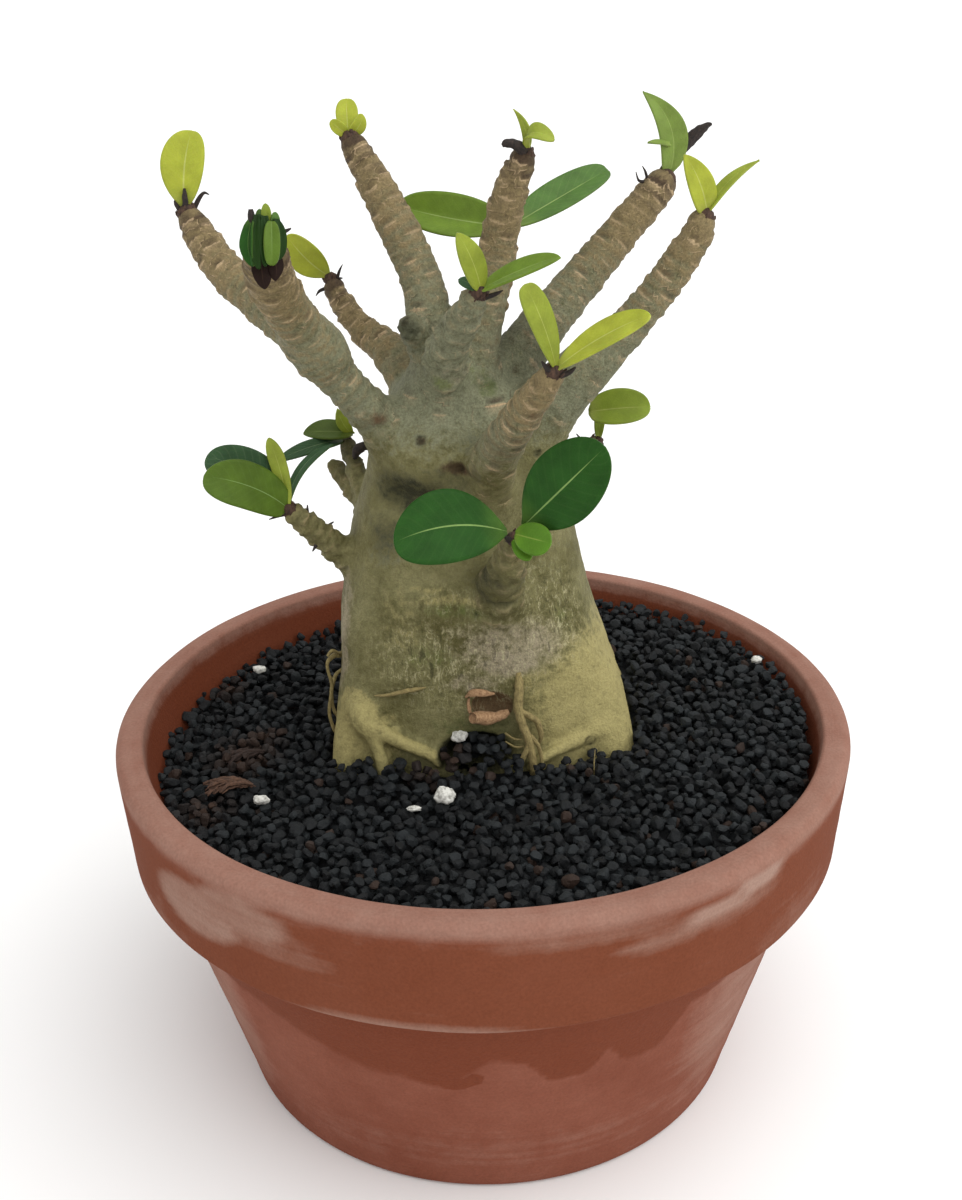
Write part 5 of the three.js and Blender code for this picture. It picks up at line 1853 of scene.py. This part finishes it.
SPRAYS: tuple[Spray, ...] = (
    Spray(
        "far_left",
        (Blade((-68.9, 21, 257.6), 10.6, (0.2, -1, 0.2), Leaf.LIME, 0.8, -1.0, 0.58, 0.4, 0.75, lean=-0.12),),
    ),
    Spray("left_front", (
        Blade(
            (-47.2, -42.6, 237.4), 3.6, (-0.7, -1, 0.1), Leaf.DARK, 0.6, 0.8, 0.5, 0.5, 0.4, 0.6, wave=0.5,
            start=(-46.8, -38, 247),
        ),
        Blade(
            (-45.8, -43.6, 237), 2.8, (-0.3, -1, 0.1), Leaf.DEEP, 0.5, 0.4, 0.5, 0.5, 0.4, 0.5, wave=0.7,
            start=(-45.8, -38.8, 247.6),
        ),
        Blade(
            (-44.4, -43.8, 237.6), 2.6, (0.2, -1, 0.1), Leaf.DEEP, 0.4, -0.3, 0.5, 0.5, 0.4, 0.5, wave=0.7,
            start=(-44.4, -39.2, 247.4),
        ),
        Blade(
            (-42.9, -44.6, 238), 3.5, (0.25, -1, 0.2), Leaf.LAWN_DARK, 0.5, 0, 0.5, 0.3, 0.3, 0.4, wave=0.2,
            start=(-42.8, -40.4, 246.4),
        ),
        Blade(
            (-41.6, -41.6, 238.6), 2.6, (0.7, -1, 0.2), Leaf.DEEP, 0.5, -0.5, 0.5, 0.4, 0.4, 0.4, wave=0.5,
            start=(-42, -38.6, 246.6),
        ),
        Blade(
            (-45, -42.2, 232.4), 4.6, (0, -1, 0.3), Leaf.MAROON, 0.5, 0.4, 0.4, 0.7, 0.4, -0.3, wave=0.8,
            start=(-45.2, -39.5, 240),
        ),
        Blade(
            (-42.8, -41.4, 234), 3.4, (0.3, -1, 0.3), Leaf.MAROON, 0.5, -0.4, 0.4, 0.7, 0.4, -0.3, wave=0.8,
            start=(-43.2, -39.5, 240),
        ),
        Blade(
            (-44.2, -37, 249.6), 2.2, (0, -1, 0.2), Leaf.OLIVE_LIME, 0.4, wedge=0.6, start=(-44, -38.5, 244),
        ),
        Blade(
            (-45.6, -36.6, 248.4), 2.2, (-0.3, -1, 0.2), Leaf.FRESH, 0.4, wedge=0.6, start=(-45.2, -38, 243),
        ),
        Blade((-42.2, -38, 248), 2.2, (0.5, -1, 0.2), Leaf.FRESH, 0.4, wedge=0.6, start=(-42.8, -38, 242.4)),
    )),
    Spray(
        "left_back", (Blade((-48.8, 34, 229), 8.8, (-0.4, -0.9, 0.3), Leaf.LIME, 1, -0.6, 0.52, 0.55, 0.85),),
    ),
    Spray("centre_left", (
        Blade((-31, 30, 263.3), 5.6, (0, -1, 0.3), Leaf.LIME, 0.2, 0, 0.6, 0.42, 0.45),
        Blade((-26.9, 25.4, 260.1), 3.9, (0.8, -0.8, 0.3), Leaf.LIME, 0.9, 0.5, 0.55, 0.45, 0.5),
        Blade((-34.7, 24, 258.9), 3.3, (-0.6, -1, 0.5), Leaf.LIME, 0.6, 0, 0.55, 0.45, 0.5),
    )),
    Spray("centre", (
        Blade((10.2, 5, 263), 2.4, (-0.5, -1, 0), Leaf.SPRING, 0.2, 1.5, 0.3, 1.0, 0.35),
        Blade((19.6, -2, 256.6), 5.2, (-0.25, -0.6, 1), Leaf.SPRING, 3.6, 0, 0.66, 0.42, 0.7, 0.5),
    )),
    Spray("centre_back", (
        Blade((-19.2, 33, 236.0), 12.2, (-0.2, -0.8, 0.7), Leaf.LAWN, 0.4, -1.0, 0.5, 0.5, 0.6, 0.5),
        Blade((35.4, 34, 244), 10.2, (-0.2, -0.7, 0.8), Leaf.FRESH, 0, 0, 0.52, 0.36, 0.6, 0.35),
    )),
    Spray("centre_twig", (
        Blade((-3.4, -29, 241), 6, (0.4, -1, 0.3), Leaf.SPRING, 0.8, 0.4, 0.5, 0.7, 0.5),
        Blade((19.4, -31, 235.6), 6, (-0.3, -0.6, 1), Leaf.LAWN, 0.4, -0.4, 0.52, 0.6, 0.5, 0.35),
        Blade((-3.4, -24, 229.4), 3, (-0.2, -0.8, 1), Leaf.BLUE, 0.5, 0, 0.5, 0.5, 0.6),
    )),
    Spray("right_back", (
        Blade((44.4, 38, 262.8), 7.8, (0.25, -1, 0.1), Leaf.SAGE, 1, 3.8, 0.36, 0.85, 0.35, 0.3),
        Blade((45.4, 33, 250.8), 1.7, (0, -0.6, 1), Leaf.SAGE, 0.4, 0, 0.5, 0.8, 0.6, start=(51.4, 35, 250)),
    )),
    Spray("right", (
        Blade((49.4, -7, 253.6), 6.8, (0.3, -1, 0.2), Leaf.LIME, 0.8, 0.6, 0.4, 0.75, 0.35, 0.3),
        Blade((67.8, -2, 251.2), 3.2, (-0.6, -0.8, 0.6), Leaf.SPRING, 1.4, -0.7, 0.36, 1.0, 0.4, 0.4),
    )),
    Spray("front", (
        Blade((10.8, -50, 234), 6, (0.3, -1, 0.3), Leaf.SPRING, 1, 0.4, 0.72, 0.28, 0.75, 0.25),
        Blade((37.4, -51, 227.2), 7.2, (-0.3, -0.7, 0.9), Leaf.LIME, 0.8, -0.6, 0.58, 0.45, 0.7, 0.3),
    )),
    Spray("low_front", (
        Blade(
            (-19.6, -46, 174.0), 17.4, (-0.05, -0.9, 0.5), Leaf.DARK, 1.8, 2.4, 0.56, 0.46, 0.8, 0.14,
            start=(6.6, -38.5, 173.2),
        ),
        Blade(
            (28.8, -46, 196.2), 17.6, (-0.4, -1, 0.4), Leaf.DARK, 1.6, 0.4, 0.56, 0.46, 0.95, 0.14,
            start=(10.6, -38.5, 174.6),
        ),
        Blade(
            (16.6, -47, 173.6), 7.6, (0.1, -1, 0.3), Leaf.BRIGHT, 0.4, 0, 0.6, 0.4, 0.55,
            start=(8.6, -40.5, 173.4),
        ),
        Blade((11.6, -45, 168.6), 4.4, (0, -1, 0.6), Leaf.BRIGHT, 0.4, 0, 0.6, 0.5, 0.6),
    )),
    Spray("low_right", (
        Blade(
            (45.6, 12, 186.8), 10, (-0.2, -0.85, 0.7), Leaf.OLIVE_LIME, 0.8, 0, 0.5, 0.42, 0.42, 0.45,
            start=(29.6, 14, 185.2),
        ),
        Blade((32.8, 14.6, 187), 3.0, (0, -1, 0.2), Leaf.OLIVE_LIME, 0.2, 0, 0.8, 0.4, 0.4),
    )),
    Spray("low_left", (
        Blade((-68.6, -3, 181.2), 13, (0, -0.8, 0.6), Leaf.BLUE, 0.6, 1.6, 0.5, 0.42, 0.7),
        Blade((-68.4, -11, 178.6), 12, (0.05, -0.95, 0.4), Leaf.LAWN_DARK, 1.4, 1.7, 0.62, 0.42, 0.36),
        Blade((-53, 0, 184.6), 4.4, (0, -1, 0.2), Leaf.SPRING, 0.5, 0.8, 0.7, 0.6, 0.4),
        Blade((-37.2, 5, 180.8), 3.4, (-0.75, -0.7, 0.5), Leaf.BLUE, 0.8, -3.2, 0.6, 0.8, 0.35),
    )),
    Spray("low_back", (
        Blade(
            (-46.8, 22, 178.2), 7, (0, -0.6, 1), Leaf.OLIVE, 0.6, 0, 0.5, 0.7, 0.45, 0.4,
            start=(-33.6, 24, 177.4),
        ),
        Blade(
            (-37.2, 22, 185), 3.4, (0, -1, 0.3), Leaf.SPRING, 0.5, -0.6, 0.5, 0.8, 0.6,
            start=(-33.8, 24.5, 177),
        ),
        Blade((-53, 10, 174.6), 4.6, (-0.3, -0.8, 0.7), Leaf.BLUE, 1.4, 0, 0.5, 0.7, 0.55),
    )),
)


# ---------------------------------------------------------------- grit


@dataclass
class GritDressing:
    """The layer of black grit: grains dropped one by one on a bed until they reach the level.

    A map of heights, in cells and from -half to half, says what the next grain comes to rest on. The arch and
    the trunk are footprints: the middle's x and y, and the half width and depth.
    """

    level: float = 99.4
    tilt: float = 0.055
    depth: float = 6.5
    reach: float = 90.6
    cell: float = 0.8
    small: float = 1.0
    usual: float = 1.4
    large: float = 2.1
    half: float = 94.0
    arch: tuple[float, float, float, float] = (-3, -22, 10, 14)
    trunk: tuple[float, float, float, float] = (0, 11, 39.6, 27.6)
    foot: float = 90.0
    bed_bottom: float = 89.0
    spill: float = 0.9
    packing: float = 0.8
    shapes: int = 14
    planes: int = 8
    tries: int = 5
    patience: int = 900
    pieces: int = 3
    seed: int = 5
    heights: np.ndarray = field(init=False)

    def surface(self, x: np.ndarray | float) -> np.ndarray | float:
        """Gives the grit's mean level at x."""
        return self.level + self.tilt * x

    def mound(self, x: np.ndarray | float, y: np.ndarray | float) -> np.ndarray | float:
        """Gives how far the crumb at the root arch and at the left root stands above that level."""
        arch = 8.4 * np.exp(-(((x + 0.5) / 11) ** 2) - ((y + 18) / 6) ** 2)
        return arch + 2.4 * np.exp(-(((x + 30) / 12) ** 2) - ((y + 22) / 8) ** 2)

    def cell_at(self, x: float, y: float) -> tuple[int, int]:
        """Gives the map's cell at a point."""
        return int((x + self.half) / self.cell), int((y + self.half) / self.cell)

    def in_arch(self, x: np.ndarray, y: np.ndarray) -> np.ndarray:
        """Tells which points lie in the arch's footprint."""
        middle_x, middle_y, wide, deep = self.arch
        return np.hypot((x - middle_x) / wide, (y - middle_y) / deep) < 1

    def grain_shapes(self, random: np.random.Generator) -> list[bpy.types.Mesh]:
        """Makes the uneven grains that the dressing repeats: cubes rounded off, then cut by flat planes.

        Args:
            random: The source of chance.

        Returns:
            Their meshes.
        """
        made = []
        for number in range(self.shapes):
            bm = bmesh.new()
            bmesh.ops.create_cube(bm, size=2)
            bmesh.ops.subdivide_edges(bm, edges=bm.edges, cuts=2, use_grid_fill=True)
            planes = [
                (Vector(random.normal(size=3)).normalized(), random.uniform(0.5, 0.82))
                for _ in range(self.planes)
            ]
            stretch = Vector(random.uniform(0.8, 1.18, 3))
            for v in bm.verts:
                v.co = v.co.normalized()
                for way, far in planes:
                    v.co -= way * max(0.0, v.co.dot(way) - far)
                v.co *= 1 + 0.2 * noise.noise(v.co * 1.3 + Vector((number * 3.1, 0, 0)))
                v.co = Vector(a * b for a, b in zip(v.co, stretch))
            axes = {f"use_axis_{axis}": True for axis in "xyz"}
            bmesh.ops.smooth_vert(bm, verts=bm.verts, factor=0.12, **axes)
            bmesh.ops.recalc_face_normals(bm, faces=bm.faces)
            made.append(to_mesh(bm, f"grain_{number}"))
        return made

    def drop(self, wood: np.ndarray, random: np.random.Generator) -> list[tuple[float, float, float, float]]:
        """Drops grains into the pot and round the wood.

        Args:
            wood: The wood's vertices.
            random: The source of chance.

        Returns:
            The middle and radius of each grain.
        """
        count = int(2 * self.half / self.cell)
        axis = (np.arange(count) + 0.5) * self.cell - self.half
        gx, gy = np.meshgrid(axis, axis, indexing="ij")
        heights = self.surface(gx) + self.mound(gx, gy) - self.depth
        near = wood[(wood[:, 2] > self.foot) & (wood[:, 2] < self.surface(wood[:, 0]) + 0.5)]
        near = near[~self.in_arch(near[:, 0], near[:, 1])]
        i, j = ((near[:, :2] + self.half) / self.cell).astype(int).T
        blocked = np.zeros_like(gx, bool)
        blocked[i, j] = True
        middle_x, middle_y, wide, deep = self.trunk
        square = (np.abs(gx - middle_x) / wide) ** 3 + (np.abs(gy - middle_y) / deep) ** 3
        blocked |= (square < 0.96) & ~self.in_arch(gx, gy)
        grains = []
        misses = 0
        while misses < self.patience:
            radius = float(random.triangular(self.small, self.usual, self.large))
            span = int(radius / self.cell) + 1
            best = None
            for _ in range(self.tries):
                turn = random.uniform(0, 2 * math.pi)
                far = (self.reach - radius) * math.sqrt(random.uniform(0, 1))
                x, y = far * math.cos(turn), far * math.sin(turn)
                a, b = self.cell_at(x, y)
                window = (slice(a - span, a + span + 1), slice(b - span, b + span + 1))
                away = (gx[window] - x) ** 2 + (gy[window] - y) ** 2
                disc = away < radius * radius
                if blocked[window][disc].any():
                    continue
                cap = np.sqrt(np.maximum(radius * radius - away, 0))
                z = float((heights[window] + cap * self.packing)[disc].max())
                over = z + radius - self.surface(x) - self.mound(x, y)
                if best is None or over < best[0]:
                    best = (over, x, y, z, window, disc, cap)
            if best is None or best[0] > self.spill:
                misses += 1
                continue
            _, x, y, z, window, disc, cap = best
            heights[window][disc] = np.maximum(heights[window][disc], (z + cap * self.packing)[disc])
            grains.append((x, y, z, radius))
        self.heights = heights
        return grains

    def rest(self, x: float, y: float, radius: float) -> float:
        """Finds the level that a loose piece rests at.

        Args:
            x: Where it lies.
            y: Where it lies.
            radius: Its size.

        Returns:
            The height that most of the grit under it keeps below.
        """
        a, b = self.cell_at(x, y)
        span = max(1, int(radius / self.cell))
        under = self.heights[a - span : a + span + 1, b - span : b + span + 1]
        return float(np.percentile(under, 80))

    def build(self, wood: np.ndarray) -> None:
        """Builds the grains in a few pieces, and the bed under them.

        Args:
            wood: The wood's vertices.
        """
        random = np.random.default_rng(self.seed)
        shapes = self.grain_shapes(random)
        forms = [vertex_rows(shape) for shape in shapes]
        corners = [np.array([list(p.vertices) for p in shape.polygons]) for shape in shapes]
        grains = self.drop(wood, random)
        for share in range(self.pieces):
            points, faces, tones, start = [], [], [], 0
            for x, y, z, radius in grains[share :: self.pieces]:
                kind = int(random.integers(len(forms)))
                turn = np.array(Euler(random.uniform(0, FULL_TURN, 3)).to_matrix())
                size = radius * 1.1
                own = forms[kind] @ turn.T * (size, size, size * 0.9) + (x, y, z)
                brown = min(1.0, near_brown(x, y)) * random.uniform(0.3, 1)
                points.append(own)
                faces.append(corners[kind] + start)
                dust, odd = random.uniform(0, 1) ** 1.3, 0.6 * (random.uniform() > 0.97)
                tones.append(np.tile([dust, max(brown, odd), 0], (len(own), 1)))
                start += len(own)
            mesh = bpy.data.meshes.new(f"grit_grains_{share + 1}")
            mesh.from_pydata(np.concatenate(points), [], np.concatenate(faces))
            set_attribute(mesh, "tone", "FLOAT_VECTOR", np.concatenate(tones))
            finish_piece(f"grit_grains_{share + 1}", mesh, [GRIT], ["grit_dressing"], smooth=False)
        for shape in shapes:
            bpy.data.meshes.remove(shape)
        self.build_bed()
        LOG.info("grit: %d grains", len(grains))

    def build_bed(self) -> None:
        """Builds the layer of finer grit that the grains lie on."""
        bm = bmesh.new()
        bmesh.ops.create_circle(bm, cap_ends=True, radius=self.reach - 1.6, segments=96)
        grown = bmesh.ops.extrude_face_region(bm, geom=list(bm.faces))["geom"]
        for v in bm.verts:
            v.co.z = self.bed_bottom
        for v in (g for g in grown if isinstance(g, bmesh.types.BMVert)):
            v.co.z = self.surface(v.co.x) - self.depth + 0.8
        bmesh.ops.recalc_face_normals(bm, faces=bm.faces)
        mesh = to_mesh(bm, "grit_bed")
        set_attribute(mesh, "tone", "FLOAT_VECTOR", np.zeros((len(mesh.vertices), 3)))
        finish_piece("grit_bed", mesh, [GRIT], ["grit_dressing"])


BARK_DUST: tuple[Row, ...] = (
    (-66, -5, 13, 12), (-73, -32, 9, 9), (-76, 34, 7, 6), (-12, -21, 10, 6), (-62, 4, 8, 7),
)  # middle x and y, half width and depth of each patch of brown grit


def near_brown(x: float, y: float) -> float:
    """Gives how brown the grit is with bark dust at a point."""
    return max(0.0, *(1.3 * (1 - math.hypot((x - a) / w, (y - b) / h)) for a, b, w, h in BARK_DUST))


@dataclass
class LooseBits:
    """White grains and brown bark that lie on the grit."""

    grit: GritDressing
    grains: tuple[tuple[float, float, Point], ...] = (
        (-10, -37.6, (5, 4.4, 4.8)), (-6.2, -17, (4.2, 3.6, 3.4)), (-18, -39.6, (3.8, 1.5, 1.5)),
        (-58, -32, (4.2, 2.6, 2.4)), (-68, 43, (4, 3, 2.4)), (81, 28, (3, 2.4, 2.2)),
    )
    clumps: tuple[tuple[Point, Point, int, int], ...] = (
        ((-67.5, -24, 0.12), (15, 7, 2.2), 60, 3), ((-66, -4.5, 0.4), (15, 8, 1.0), 34, 8),
    )
    joints: int = 9
    sides: int = 6

    def grain(self, number: int, x: float, y: float, size: Point) -> None:
        """Builds one lumpy white grain.

        Args:
            number: The grain's number.
            x: Where it lies.
            y: Where it lies.
            size: Its length, width and height.
        """
        bm = bmesh.new()
        bmesh.ops.create_icosphere(bm, subdivisions=3, radius=0.5)
        for v in bm.verts:
            lump = noise.noise(v.co * 3.4 + Vector((number * 5.0, 0, 0)))
            v.co *= 1 + 0.34 * lump + 0.12 * noise.noise(v.co * 9)
        bmesh.ops.scale(bm, vec=size, verts=bm.verts)
        z = self.grit.rest(x, y, 0.4 * size[0]) + 0.32 * size[2]
        bmesh.ops.translate(bm, vec=(x, y, z), verts=bm.verts)
        bmesh.ops.recalc_face_normals(bm, faces=bm.faces)
        name = f"perlite_grain_{number}"
        finish_piece(name, to_mesh(bm, name), [PERLITE], [f"perlite_{number}"])

    def coir(self, number: int, middle: Point, size: Point, fibres: int, seed: int) -> None:
        """Builds a clump of torn bark fibres that lie over each other.

        Args:
            number: The clump's number.
            middle: Its middle, and how far it is turned.
            size: Its length, width and height.
            fibres: How many fibres it has.
            seed: The source of chance.
        """
        random = np.random.default_rng(seed)
        bm = bmesh.new()
        spot = bm.verts.layers.float_vector.new("blade")
        x, y, turn = middle
        cos, sin = math.cos(turn), math.sin(turn)
        long, wide, high = size
        level = self.grit.rest(x, y, 0.4 * wide) + 0.1
        for strand in range(fibres):
            fan, slide = random.uniform(-1, 1), random.uniform(-0.35, 0.35)
            length, lift = random.uniform(0.35, 0.62), random.uniform(0.1, 1) * high
            path = []
            for i in range(self.joints):
                t = i / (self.joints - 1) - 0.5
                along = (slide + 2 * t * length) * long / 2
                across = fan * wide / 2 * (0.45 - 0.7 * t) - 0.16 * wide * (2 * t) ** 2
                across += 0.3 * random.uniform(-1, 1)
                ends = max(0.0, 1 - (along / (0.62 * long)) ** 2 - (across / (0.7 * wide)) ** 2)
                at = (x + along * cos - across * sin, y + along * sin + across * cos)
                path.append((*at, level + lift * ends))
            thick = random.uniform(0.3, 0.75)
            radii = [thick * (0.35 + 0.65 * math.sin(math.pi * (i + 0.6) / 9.2)) for i in range(self.joints)]
            for i, v in enumerate(tube(bm, path, radii, self.sides, random.uniform(0.4, 0.8))):
                around = math.cos(FULL_TURN * (i % self.sides) / self.sides)
                v[spot] = (around + strand, (i // self.sides) * 0.4, strand)
                v.co += Vector(noise.noise_vector(v.co * 0.8)) * 0.25
        bmesh.ops.recalc_face_normals(bm, faces=bm.faces)
        name, finish = f"dead_bark_{number}", (FIBRE, DUSTY_FIBRE)[number - 1]
        finish_piece(name, to_mesh(bm, name), [finish], [f"bark_chip_{number}"])

    def build(self) -> None:
        """Lays each piece on the grit."""
        for number, (x, y, size) in enumerate(self.grains, 1):
            self.grain(number, x, y, size)
        for number, (middle, size, fibres, seed) in enumerate(self.clumps, 1):
            self.coir(number, middle, size, fibres, seed)


# ---------------------------------------------------------------- studio


@dataclass
class Studio:
    """A pale floor, soft light and the camera that the object is seen from.

    The eye is in millimetres and the turns in radians, and the lens is in millimetres for a sensor 36 wide.
    """

    eye: Point = (0.0, -364.10, 306.54)
    pitch: float = 0.434
    yaw: float = 0.00077
    roll: float = 0.02016
    lens: float = 44.8875
    sky: float = 0.78
    key: float = 2.0
    key_spread: float = 1.4
    key_from: Point = (0.5, -0.35, 0.9)
    floor: float = 12000.0

    def camera(self) -> None:
        """Sets the camera up at the photograph's angle."""
        level, drop = math.cos(self.pitch), math.sin(self.pitch)
        forward = Vector((math.sin(self.yaw) * level, math.cos(self.yaw) * level, -drop))
        right = Vector((math.cos(self.yaw), -math.sin(self.yaw), 0))
        down = forward.cross(right)
        cos, sin = math.cos(self.roll), math.sin(self.roll)
        right, down = right * cos + down * sin, down * cos - right * sin
        data = bpy.data.cameras.new("studio_camera")
        data.sensor_width, data.lens, data.clip_start = 36.0, self.lens, 0.01
        camera = bpy.data.objects.new("studio_camera", data)
        place = Matrix((right, -down, -forward)).transposed().to_4x4()
        place.translation = Vector(self.eye) * MM
        camera.matrix_world = place
        bpy.context.scene.collection.objects.link(camera)
        bpy.context.scene.camera = camera

    def build(self) -> None:
        """Sets up floor, lights, world and camera."""
        bm = bmesh.new()
        bmesh.ops.create_grid(bm, x_segments=4, y_segments=4, size=self.floor)
        mesh = to_mesh(bm, "studio_floor")
        mesh.transform(Matrix.Scale(MM, 4))
        mesh.materials.append(StudioPaper().material())
        floor = bpy.data.objects.new("studio_floor", mesh)
        bpy.context.scene.collection.objects.link(floor)
        world = bpy.data.worlds.new("studio_world")
        world.use_nodes = True
        sky = world.node_tree.nodes["Background"]
        sky.inputs[0].default_value = linear("#ffffff")
        sky.inputs[1].default_value = self.sky
        bpy.context.scene.world = world
        data = bpy.data.lights.new("key_light", "SUN")
        data.energy, data.angle = self.key, self.key_spread
        lamp = bpy.data.objects.new("key_light", data)
        lamp.rotation_euler = (-Vector(self.key_from)).to_track_quat("-Z", "Y").to_euler()
        bpy.context.scene.collection.objects.link(lamp)
        bpy.context.scene.view_settings.view_transform = "Standard"
        self.camera()


def main() -> None:
    """Builds the studio and the plant, part by part."""
    logging.basicConfig(level=logging.INFO, format="%(message)s")
    Studio().build()
    TerracottaPot().build()
    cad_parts["potting_mix"].data.materials.clear()
    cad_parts["potting_mix"].data.materials.append(SOIL.material())
    wood = Caudex().build()
    for strands in (FINE_ROOTS, BARK_FLAP, DRIED_BITS):
        strands.build()
    for spray in SPRAYS:
        spray.build()
    grit = GritDressing()
    grit.build(wood)
    LooseBits(grit).build()


if __name__ == "__main__":
    main()
